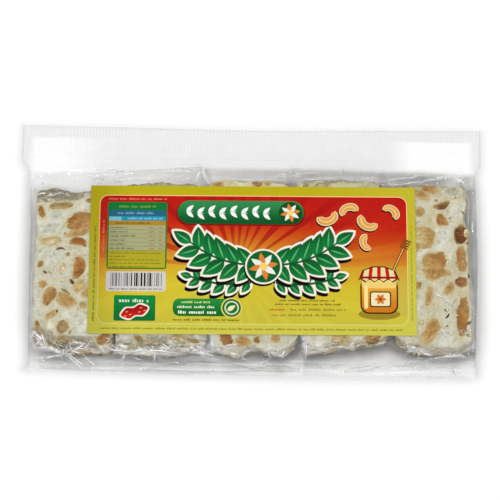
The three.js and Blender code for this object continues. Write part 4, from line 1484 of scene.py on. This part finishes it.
def make_front_film(contents, solids):
    """The film over the bars. It follows the bag's solid, lies on what is in it and is creased."""
    columns = np.linspace(0, 1, FRONT_COLUMNS)
    rows = np.concatenate([np.arange(FOOT_Y, -42, FILM_ROW), np.arange(-42, 27, 1.0),
                           np.arange(27, FLAP_Y, FILM_ROW), [FLAP_Y]])
    x, y = bag_grid(columns, rows)
    held_in = np.clip(x, bag_side(LEFT_SIDE, y) + 0.05, bag_side(RIGHT_SIDE, y) - 0.05)
    base = drop_onto(solids, held_in, np.clip(y, bag_foot(x) + 0.05, None))
    lying = spread(drop_onto(contents, x, y))
    base = blurred(spread(base), 1.6)
    drape = np.maximum(base, lying + CLEARANCE[0])
    drape = np.maximum(blurred(drape, 1.1), lying + CLEARANCE[1])
    foot = 1 - smoothstep(y, *LOOSE_FOOT)
    head = smoothstep(y, *LOOSE_HEAD) * (1 - smoothstep(y, 43.0, FLAP_Y))
    edge = from_sides(x, y)
    sides = 1 - smoothstep(edge, *LOOSE_SIDE)
    loose = np.clip(foot + head + sides, 0, 1)
    relief, crease = fold_relief(x, y, soft_folds())
    tight = smoothstep(lying, 1.0, 5.0) * loose
    z = drape + relief * (1 - smoothstep(y, 43.5, 46.5))
    z = z + 0.24 * loose * np.clip(wrinkles(x, y, 71), -0.4, 1)
    z = z + 0.20 * tight * np.clip(wrinkles(2.0 * x, 2.0 * y, 73), -0.4, 1)
    z = z + 0.022 * (1 - loose) * wrinkles(x, y, 75)
    z = np.maximum(z, lying + CLEARANCE[2])
    above = (z - blurred(z, 3.0)) * loose / 0.12
    rim = np.minimum(edge, y - bag_foot(x))
    z = lerp(RIM_FRONT, z, smoothstep(rim, -0.2, 1.3) * 0.999 + 0.001)
    points = as_points(x, y, z)
    faces = grid_faces(*x.shape)
    piece = new_object("film_front", points, faces)
    off_label = 1 - inside_label(x, y)
    # Painted highlight whitens the crests of the crumpling and painted shade greys its hollows; over the
    # flap it takes the flap's painted shade.
    whitened = lerp(0.34, 0.20, head) * np.clip(crease, 0, 1) + 0.16 * np.clip(above - 0.25, 0, 1)
    on_flap = smoothstep(y, crease_y(x) - 1.5, crease_y(x) + 2.0)
    shade = on_flap * flap_shade(x, y) + (1 - on_flap) * np.clip(-above, 0, 1) * lerp(0.6, 0.2, head)
    mark_film(piece, (whitened + gap_mist(x, y)) * off_label, shade * off_label)
    mark_points(piece, "crumple", (loose * (0.25 + 0.75 * tight) * off_label).ravel())
    return piece, tree_of(points, faces)


def inside_label(x, y):
    """Whether a place is over the label."""
    return (abs(x - LABEL["x"]) < LABEL["half_width"]) & (abs(y - LABEL["y"]) < LABEL["half_height"])


# A fold's dark side is painted shade.
DARK_FOLDS_BELOW = -44.0                       # only folds over the bars' feet have a dark side
FOLD_MARGIN = 0.8                              # no fold comes nearer to the bag's edge
WIDE_FOLD = 0.45                               # named folds wider than this are two faint ridges
SHORT_FOLD = 9.0

# Points across a pinched fold: their place and lift, how white they are, partly as painted highlight, and
# how much painted shade darkens them.
FOLD_SECTION = ((-1.1, -0.15, 0.0, 0.9), (-0.6, 0.50, 0.2, 0.8), (-0.4, 0.9, 1.0, 0.0),
                (0.5, 0.9, 1.0, 0.0), (1.0, -0.15, 0.1, 0.0))


def add_fold(pile, film, fold, rng, dull, strength):
    """One pinched fold: a narrow ridge of doubled film standing on the film, whitened partly as painted
    highlight.
    """
    ax, ay, bx, by, height, half = fold
    start, run = np.array([ax, ay]), np.array([bx - ax, by - ay])
    length = np.hypot(*run)
    steps = max(4, int(length / 0.5))
    t = np.linspace(0, 1, steps + 1)
    normal = np.array([-run[1], run[0]]) / length
    offset = rng.uniform(0, 90)

    def ripple(row, size, seed):
        return noise(t * length + offset, np.full(len(t), row), size, seed)

    bow = rng.normal(0, 0.045) * length * np.sin(math.pi * t)
    wander = bow + 0.26 * ripple(offset, 2.2, 51)
    swell = np.sin(math.pi * np.clip(t, 0.03, 0.97)) ** 0.8 * (1 + 0.5 * ripple(9.0, 1.5, 52))
    # gleam: how strongly the painted highlight shows along the fold.
    gleam = np.clip(dull + 0.55 * ripple(33.0, 3.0, 53) + 0.55 * ripple(71.0, 0.9, 54), 0.1, 1)
    middle = start + np.outer(t, run) + np.outer(wander, normal)
    points, marks = [], []
    for k, (mx, my) in enumerate(middle):
        if min(from_sides(mx, my), my - bag_foot(mx)) <= FOLD_MARGIN:
            break
        for side, lift, whiteness, shade in FOLD_SECTION:
            x, y = middle[k] + normal * side * half * (0.4 + 0.6 * swell[k])
            ground = look_down(film, x, y).z
            points.append((x, y, min(ground + lift * height * swell[k], TALLEST_FOLD)))
            visible = strength * min(1.0, 0.2 + 0.8 * swell[k]) * gleam[k]
            marks.append((visible * whiteness, visible * shade if y < DARK_FOLDS_BELOW else 0.0))
    across = len(FOLD_SECTION)
    if len(points) >= 3 * across:
        pile.add(points, grid_faces(len(points) // across, across), np.array(marks))


def make_creases(film):
    """Every pinched fold, as one mesh."""
    pile = Pile()
    rng = np.random.RandomState(611)
    for ax, ay, bx, by, height, half in NAMED_FOLDS:
        strength = min(1.0, 1.3 * height) * min(1.0, (WIDE_FOLD / half) ** 1.6)
        slim = min(0.85 * half, 0.5 if math.hypot(bx - ax, by - ay) < SHORT_FOLD else 0.36)
        for shift in (0.0, 0.35) if half > WIDE_FOLD else (0.0,):
            thin = (ax, ay + shift, bx, by - shift, 0.5 * height, slim)
            add_fold(pile, film, thin, rng, 1.0, min(1.0, 1.15 * strength))
    for fold in small_folds():
        # Some folds get a full painted highlight, more often over the feet left of the middle.
        share = 0.50 if fold[0] < -10.0 and fold[1] < DARK_FOLDS_BELOW else 0.28
        dull, strength = (1.0, 1.0) if rng.uniform() < share else (0.55, 0.5)
        add_fold(pile, film, fold, rng, dull, strength)
    piece = pile.build("film_creases")
    mark_film(piece, *np.concatenate(pile.marks).T)
    return piece


def crease_y(x):
    """Where the pouch ends and the flap begins: higher in the middle than at the sides."""
    return CREASE_Y + 1.3 - np.where(x < 0, 4.2, 2.0) * (x / 112.0) ** 2


def row_end(key, x):
    """The Y of the bars' feet or heads at an X, carried across the gaps between them."""
    sides = "foot_x" if key == "foot" else "head_x"
    places = np.concatenate([np.linspace(*bar[sides], len(bar[key])) for bar in BARS])
    return np.interp(x, places, np.concatenate([bar[key] for bar in BARS]))


# How much painted shade greys the back film beyond the bars' heads, by X.
HEAD_SHADE = [(-100.0, 0.16), (-58.0, 0.08), (-40.0, 0.20), (-28.0, 0.32), (6.0, 0.42), (36.0, 0.54),
              (56.0, 0.48), (84.0, 0.68), (92.0, 0.60), (97.0, 0.40), (102.0, 0.22), (107.0, 0.42)]

# The same painted shade below the bars' feet and between the bars, and how far it reaches below the feet.
FOOT_SHADE = [(-106.0, 0.60), (-97.0, 0.80), (-66.0, 0.72), (-60.0, 0.86)]
GAP_SHADE = [(-107.0, 0.50), (-103.0, 0.72), (90.0, 0.72), (108.0, 0.66)]
FOOT_REACH = [(-100.0, 8.4), (-62.0, 5.7), (55.0, 5.7), (85.0, 4.3)]


def pouch_shade(x, y):
    """The painted shade that greys the back film: most between the bars and beside them, and none on the
    flap.
    """
    below = np.clip(row_end("foot", x) - y, 0, None)
    above = np.clip(y - row_end("head", x), 0, None)
    left = np.clip(-105.8 - x, 0, None)
    right = np.clip(x - 108.6, 0, None)
    level, foot_level, gap_level, reach = (
        np.interp(x, *zip(*row)) for row in (HEAD_SHADE, FOOT_SHADE, GAP_SHADE, FOOT_REACH))
    near_head = lerp(np.minimum(1.0, 1.9 * level), level, smoothstep(above, 0.0, 3.2))
    near_foot = np.exp(-(below / reach) ** 1.15) * foot_level
    beside = np.where(above > 0, near_head, np.where(below > 0, near_foot, gap_level))
    beside = beside * np.exp(-left / lerp(9.0, 3.5, smoothstep(y, 5.0, 25.0))) * np.exp(-right / 9.0)
    return beside * (1 - smoothstep(y, crease_y(x) - 1.8, crease_y(x) + 1.6))


def seal_band(y):
    """One in the middle of each crimped band, and 0 outside it."""
    return sum(smoothstep(y, low, low + SEAL_EDGE) * (1 - smoothstep(y, high - SEAL_EDGE, high))
               for low, high in SEAL_BANDS)


def flap_shade(x, y):
    """The flap's painted shade: it is greyed less towards its two ends, below the upper seal."""
    ends = 1.17 * smoothstep(x, 66.0, 82.0) + 1 - smoothstep(x, -101.0, -62.0)
    outer = smoothstep(abs(x), 108.0, 112.0)
    upper = smoothstep(y, 57.0, 59.0)
    return np.clip(1 + 0.15 * upper - 0.85 * ends * (1 - outer) * (1 - 0.9 * upper), 0, 1.2)


def make_flap_film():
    """The flap above the crease: two layers sealed together by two bands of fine upright ribs."""
    columns = np.linspace(0, 1, FLAP_COLUMNS)
    rows = np.unique(np.concatenate([np.arange(FLAP_Y, HEAD_Y, 0.75), [HEAD_Y]] + [
        np.array([low, low + SEAL_EDGE, high - SEAL_EDGE, high]) for low, high in SEAL_BANDS]))
    x, y = bag_grid(columns, rows)
    band = seal_band(y)
    ribs = 0.5 + 0.5 * np.cos(2 * math.pi * x / RIB_PITCH)
    ribs = band * RIB_HEIGHT * (0.8 + 0.25 * noise(x + 200, y + 60, 30.0, 81)) * ribs
    z = 0.62 + 0.25 * noise(x + 130, y + 70, 22.0, 82) * (1 - band) + ribs
    z = z + 0.06 * (1 - band) * wrinkles(x * 0.5, y, 83)
    edge = np.minimum(np.minimum(x + HEADER_HALF, HEADER_HALF - x), bag_head(x) - y)
    z = lerp(RIM, z, smoothstep(edge, -0.2, 3.4))
    piece = new_object("film_flap", as_points(x, y, z), grid_faces(*x.shape))
    mark_film(piece, ribs, flap_shade(x, y))
    return piece


def make_back_film():
    """The film under the bars and behind the flap, lying almost flat."""
    columns = np.linspace(0, 1, BACK_COLUMNS)
    rows = np.linspace(FOOT_Y, HEAD_Y, BACK_ROWS)
    x, y = bag_grid(columns, rows)
    z = 0.05 + 0.10 * np.clip(wrinkles(x * 0.6, y * 0.6, 91), 0, 1)
    edge = np.minimum(from_sides(x, y), np.minimum(y - bag_foot(x), bag_head(x) - y))
    z = lerp(RIM, z, smoothstep(edge, -0.2, 1.5))
    piece = new_object("film_back", as_points(x, y, z), grid_faces(*x.shape)[:, ::-1])
    mark_film(piece, np.zeros(x.shape), pouch_shade(x, y))
    return piece


# ------------------------------------------------------------------ materials

class Shader:
    """A material and the calls that build its nodes."""

    def __init__(self, name):
        self.material = bpy.data.materials.new(name)
        self.material.use_nodes = True
        self.nodes = self.material.node_tree.nodes
        self.nodes.clear()
        self.place = self.node("TexCoord").outputs["Object"]

    def put(self, socket, value):
        if isinstance(value, bpy.types.NodeSocket):
            self.material.node_tree.links.new(value, socket)
        else:
            socket.default_value = value

    def node(self, kind, inputs=(), **settings):
        made = self.nodes.new("ShaderNode" + kind)
        for key, value in settings.items():
            setattr(made, key, value)
        for key, value in dict(inputs).items():
            self.put(made.inputs[key], value)
        return made

    def noise(self, size, detail=2.0, rough=0.5):
        """Noise with features of that many millimetres, from 0 to 1."""
        inputs = {"Vector": self.place, "Scale": 1 / (size * MM), "Detail": detail, "Roughness": rough}
        return self.node("TexNoise", inputs).outputs["Fac"]

    def ramp(self, value, low, high, to_low=0.0, to_high=1.0):
        inputs = {"Value": value, "From Min": low, "From Max": high, "To Min": to_low, "To Max": to_high}
        return self.node("MapRange", inputs).outputs["Result"]

    def math(self, operation, a, b=0.5, c=0.5):
        return self.node("Math", {0: a, 1: b, 2: c}, operation=operation).outputs[0]

    def mix(self, factor, a, b, blend="MIX"):
        """Mixes two colours: the sockets of a mix node for them are 6, 7 and 2."""
        return self.node("Mix", {0: factor, 6: a, 7: b}, data_type="RGBA", blend_type=blend).outputs[2]

    def attribute(self, name, output="Fac"):
        return self.node("Attribute", attribute_name=name).outputs[output]

    def bump(self, height, distance, strength=1.0, normal=None):
        inputs = {"Height": height, "Distance": distance * MM, "Strength": strength}
        if normal is not None:
            inputs["Normal"] = normal
        return self.node("Bump", inputs).outputs["Normal"]

    def spotted(self, colour, spots, low, high, share, rgb):
        """Adds spots of another colour where a noise rises from low to high."""
        amount = self.math("MULTIPLY", self.ramp(spots, low, high), share)
        return self.mix(amount, colour, rgba(*rgb))

    def solid(self, colour, rough, normal, ior, **more):
        """Ends with one principled surface. more holds further inputs, with _ for each space."""
        inputs = {"Base Color": colour, "Roughness": rough, "Normal": normal, "IOR": ior}
        inputs.update((key.replace("_", " "), value) for key, value in more.items())
        return self.finish(self.node("BsdfPrincipled", inputs).outputs[0])

    def finish(self, shader):
        self.node("OutputMaterial", {"Surface": shader})
        return self.material


def rgba(*colour):
    return (*linear(colour), 1.0)


def nougat_material():
    """Chewy whipped sugar: the colour of each point, with finer pale and dark grain."""
    s = Shader("nougat")
    colour = s.attribute("tint", "Color")
    colour = s.spotted(colour, s.noise(1.1, 3.0, 0.65), 0.50, 0.72, 0.44, (228, 226, 214))
    colour = s.spotted(colour, s.noise(1.3, 2.0, 0.6), 0.54, 0.72, 0.42, (154, 151, 126))
    colour = s.spotted(colour, s.noise(0.8, 1.0), 0.70, 0.78, 0.5, (128, 104, 74))
    normal = s.bump(s.noise(1.3, 3.0, 0.6), 0.30, 0.9)
    normal = s.bump(s.noise(0.45, 2.0), 0.06, 0.7, normal)
    rough = s.ramp(s.noise(2.4), 0.3, 0.7, 0.36, 0.62)
    return s.solid(colour, rough, normal, 1.45, Subsurface_Weight=0.10,
                   Subsurface_Radius=(0.003, 0.0024, 0.0016), Subsurface_Scale=0.6)


def nut_material(name):
    """Roasted nut: each nut's own tint with golden mottling and dark pores."""
    s = Shader(name)
    colour = s.attribute("tint", "Color")
    colour = s.spotted(colour, s.noise(1.0, 3.0, 0.6), 0.46, 0.70, 0.34, (194, 154, 88))
    colour = s.spotted(colour, s.noise(0.9, 3.0, 0.6), 0.52, 0.70, 0.44, (112, 70, 32))
    normal = s.bump(s.noise(0.8, 3.0, 0.6), 0.20, 1.0)
    rough = s.ramp(s.noise(1.2), 0.3, 0.7, 0.44, 0.62)
    return s.solid(colour, rough, normal, 1.47, Specular_IOR_Level=0.30)


def label_material():
    """Coated card: the print, with a faint paper grain and uneven ink."""
    s = Shader("label")
    ink = s.attribute("print", "Color")
    uneven = s.ramp(s.noise(14.0, 2.0), 0.3, 0.7, 0.0, 0.10)
    colour = s.mix(uneven, ink, (0.80, 0.80, 0.78, 1.0), "MULTIPLY")
    grain = s.ramp(s.noise(0.5, 2.0), 0.35, 0.65, 0.0, 0.16)
    colour = s.mix(grain, colour, (0.74, 0.74, 0.72, 1.0), "MULTIPLY")
    normal = s.bump(s.noise(0.6, 2.0), 0.012, 0.5)
    normal = s.bump(s.noise(9.0, 2.0), 0.20, 0.35, normal)
    rough = s.ramp(s.noise(3.0), 0.3, 0.7, 0.42, 0.56)
    return s.solid(colour, rough, normal, 1.45, Specular_IOR_Level=0.12)


# Each kind of film: the colour that painted shade greys it to, how milky it is and how milky its creases
# are (partly painted highlight), how much it mirrors seen straight on, how rough it is, and the share of
# its mirror left where it is taut.
FILMS = dict(
    film_front=dict(grey=(0.893, 0.893, 0.897, 1), haze=0.001, crease_haze=1.0, mirror=0.036,
                    rough=(0.03, 0.09), taut=0.15),
    film_crease=dict(grey=(0.36, 0.35, 0.32, 1), haze=0.0, crease_haze=1.0, mirror=0.22,
                     rough=(0.10, 0.20), taut=1.0),
    film_flap=dict(grey=(0.893, 0.893, 0.897, 1), haze=0.02, crease_haze=0.5, mirror=0.022,
                   rough=(0.14, 0.24), taut=1.0),
    film_back=dict(grey=(0.425, 0.42, 0.41, 1), haze=0.006, crease_haze=0.3, mirror=0.015,
                   rough=(0.20, 0.32), taut=1.0),
)
CLEAR = (0.99, 0.99, 0.99, 1)


def film_material(name):
    """Thin clear film: mostly see-through, mirrors more at a slant, greyed by painted shade, and whitened
    where it is creased, partly as painted highlight.
    """
    grey, haze, crease_haze, mirror, roughness, taut = FILMS[name].values()
    s = Shader(name)
    # The pouch attribute holds painted shade, which greys what shows through the film.
    shade = s.attribute("pouch")
    mottle = s.ramp(s.noise(9.0, 3.0), 0.3, 0.7, -0.12, 0.12)
    shade = s.math("ADD", shade, s.math("MULTIPLY", shade, mottle))
    facing = s.node("LayerWeight", {"Blend": 0.5}).outputs["Facing"]
    slant = s.math("POWER", facing, 5.0)
    straight = s.math("MULTIPLY", s.math("MULTIPLY_ADD", shade, -0.8, 1.0), mirror)
    if taut < 1.0:
        loose = s.ramp(s.attribute("crumple"), 0.1, 0.9, taut, 1.0)
        straight = s.math("MULTIPLY", straight, loose)
    shine = s.math("MULTIPLY_ADD", slant, 0.80, straight)
    through = s.mix(shade, CLEAR, grey)
    normal = s.bump(s.noise(2.2, 2.0), 0.04, 0.34)
    normal = s.bump(s.noise(0.8, 2.0), 0.02, 0.34, normal)
    normal = s.bump(s.noise(1.5, 2.0), 0.11, s.attribute("crumple"), normal)
    rough = s.ramp(s.noise(4.0), 0.3, 0.7, *roughness)
    behind = s.node("BsdfTransparent", {"Color": through}).outputs[0]
    gloss = s.node("BsdfGlossy", {"Color": (1, 1, 1, 1), "Roughness": rough, "Normal": normal}).outputs[0]
    body = s.node("MixShader", {0: shine, 1: behind, 2: gloss}).outputs[0]
    cloud = s.node("BsdfDiffuse", {"Color": (0.94, 0.94, 0.94, 1), "Normal": normal}).outputs[0]
    milky = s.math("MULTIPLY_ADD", s.attribute("crease"), crease_haze, haze)
    return s.finish(s.node("MixShader", {0: milky, 1: body, 2: cloud}).outputs[0])


def floor_material():
    """A white table that glows a little, and does neither where painted shadow lies round the bag."""
    s = Shader("floor")
    painted_shadow = s.attribute("painted_shadow")
    black = (0, 0, 0, 1)
    light = s.mix(painted_shadow, (1, 1, 1, 1), black)
    glow = s.node("Emission", {"Color": light, "Strength": 0.10}).outputs[0]
    white = s.mix(painted_shadow, (0.885, 0.885, 0.885, 1), black)
    matt = s.node("BsdfDiffuse", {"Color": white, "Roughness": 1.0}).outputs[0]
    return s.finish(s.node("AddShader", {0: glow, 1: matt}).outputs[0])


# ------------------------------------------------------------------ studio

def make_camera():
    """The photo's camera."""
    data = bpy.data.cameras.new("camera")
    data.sensor_width = SENSOR
    data.lens = SENSOR * CAMERA["distance"] / CAMERA["frame_width"]
    data.clip_start, data.clip_end = 0.05, 20
    camera = bpy.data.objects.new("camera", data)
    bpy.context.scene.collection.objects.link(camera)
    angle = math.radians(CAMERA["elevation"])
    back = Vector((0, -math.cos(angle), math.sin(angle)))
    roll = Matrix.Rotation(math.radians(CAMERA["roll"]), 3, "Z")
    turn = (-back).to_track_quat("-Z", "Y").to_matrix() @ roll
    place = (Vector(CAMERA["target"]) + back * CAMERA["distance"]) * MM
    camera.matrix_world = Matrix.Translation(place) @ turn.to_4x4()
    bpy.context.scene.camera = camera


def add_light(name, place, width, height, watts, mirrored=True):
    """An area light aimed at the pack. One that isn't mirrored leaves no broad sheen on the film."""
    data = bpy.data.lights.new(name, "AREA")
    data.shape, data.size, data.size_y, data.energy = "RECTANGLE", width, height, watts
    lamp = bpy.data.objects.new(name, data)
    bpy.context.scene.collection.objects.link(lamp)
    lamp.location = place
    lamp.rotation_euler = (-Vector(place)).to_track_quat("-Z", "Y").to_euler()
    lamp.visible_glossy = mirrored


# Broad lamps that the film doesn't mirror: the place in metres and the watts of each.
BROAD_LAMPS = dict(
    key=((-0.22, 0.34, 1.15), 3.0), fill_1=((-0.95, 0.0, 0.80), 0.5), fill_2=((0.95, 0.05, 0.80), 0.5),
    fill_3=((0.0, -0.95, 0.80), 0.5), fill_4=((0.0, 0.95, 0.80), 0.5),
)

# Small lamps that the film's folds mirror: the place and size of each, in metres.
GLINTS = [
    (-0.62, -0.05, 0.82, 0.06), (0.62, 0.10, 0.82, 0.06), (-0.40, 0.66, 0.74, 0.06),
    (0.46, 0.62, 0.74, 0.06), (-0.42, -0.66, 0.70, 0.06), (0.30, -0.72, 0.68, 0.06),
    (-0.34, 0.30, 1.04, 0.03), (0.38, 0.34, 1.02, 0.03), (0.04, 0.74, 0.90, 0.03),
    (-0.20, -0.06, 1.12, 0.03), (0.24, -0.02, 1.12, 0.03),
]
GLINT_POWER = 150                              # watts to a square metre of lamp
WORLD_LIGHT = 0.66
FLOOR_Z = -0.2                                 # the table is just clear of the bag
FAR_FLOOR = np.array([200.0, 400.0, 1500.0])   # lines of the table's grid beyond the fine ones


def contact_shade(x, y):
    """How much painted shadow darkens the table close round the bag: most beside the pouch,
    least above the flap.
    """
    sides = np.arange(FOOT_Y + 3.0, HEAD_Y)
    ends = np.arange(-HEADER_HALF, HEADER_HALF, 2.0)
    beside = lerp(0.30, 0.17, smoothstep(sides, 34.0, 48.0))
    rims = [(bag_side(side, sides), sides, beside, 3.6) for side in (LEFT_SIDE, RIGHT_SIDE)]
    rims.append((0.95 * ends, bag_foot(0.95 * ends), np.full(len(ends), 0.22), 3.4))
    rims.append((ends, bag_head(ends), np.full(len(ends), 0.14), 3.4))
    inside_bag = (from_sides(x, y) > 0) & (y > bag_foot(x)) & (y < bag_head(x))
    steeper = np.where(inside_bag, 5.0, 1.0)
    shade = np.zeros(x.shape)
    for rim_x, rim_y, strengths, reach in rims:
        for a, b, strength in zip(rim_x, rim_y, strengths):
            gap = np.hypot(x - a, y - b) * steeper
            shade = np.maximum(shade, strength * np.exp(-(gap / reach) ** 1.25))
    return shade


def make_studio():
    """The lamps, the world's even light and the table."""
    scene = bpy.context.scene
    scene.view_settings.view_transform = "Standard"
    world = bpy.data.worlds.new("studio")
    world.use_nodes = True
    background = world.node_tree.nodes["Background"]
    background.inputs["Color"].default_value = (1, 1, 1, 1)
    background.inputs["Strength"].default_value = WORLD_LIGHT
    scene.world = world
    world.cycles_visibility.glossy = False
    for name, (place, watts) in BROAD_LAMPS.items():
        add_light(name, place, 0.6, 0.5, watts, mirrored=False)
    for k, (*place, size) in enumerate(GLINTS):
        add_light(f"glint_{k + 1}", place, size, size, GLINT_POWER * size * size)
    lines = [np.r_[-FAR_FLOOR[::-1], np.arange(-half, half + 1), FAR_FLOOR] for half in (140.0, 90.0)]
    x, y = np.meshgrid(*lines)
    floor = new_object("floor", as_points(x, y, np.full(x.shape, FLOOR_Z)), grid_faces(*x.shape))
    # Painted shadow on the table close round the bag.
    mark_points(floor, "painted_shadow", contact_shade(x, y).ravel())
    floor.data.materials.append(floor_material())


# ------------------------------------------------------------------ the object

def solid_tree():
    """The bag's and the label's CAD solids as one tree, in millimetres."""
    points, faces = [], []
    for name in ("bag", "label"):
        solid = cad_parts[name]
        first = len(points)
        points.extend(tuple((solid.matrix_world @ v.co) / MM) for v in solid.data.vertices)
        faces.extend([first + k for k in polygon.vertices] for polygon in solid.data.polygons)
    return tree_of(points, faces)


def dress(piece, material, node):
    """Gives a piece its material and its body, and hides the CAD node that it stands for."""
    piece.data.materials.append(material)
    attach(piece, BODY)
    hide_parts(node)


class Contents:
    """What the film lies on: the label where there is one, and otherwise the bars and nuts."""

    def __init__(self, label, filling):
        self.label, self.filling = label, filling

    def ray_cast(self, start, down):
        hit = self.label.ray_cast(start, down)
        return hit if hit[0] is not None else self.filling.ray_cast(start, down)


def main():
    make_camera()
    make_studio()
    bars, nuts, filling = make_bars_and_nuts()
    label, label_top = make_label()
    nougat = nougat_material()
    for bar in bars:
        dress(bar, nougat, "bag")
    for piece, slot in zip(nuts, ("nut_tan", "nut_brown")):
        dress(piece, nut_material(slot), "bag")
    dress(label, label_material(), "label")
    front, film = make_front_film(Contents(label_top, filling), solid_tree())
    films = (front, make_creases(film), make_flap_film(), make_back_film())
    for piece, kind in zip(films, FILMS):
        dress(piece, film_material(kind), "bag")


main()
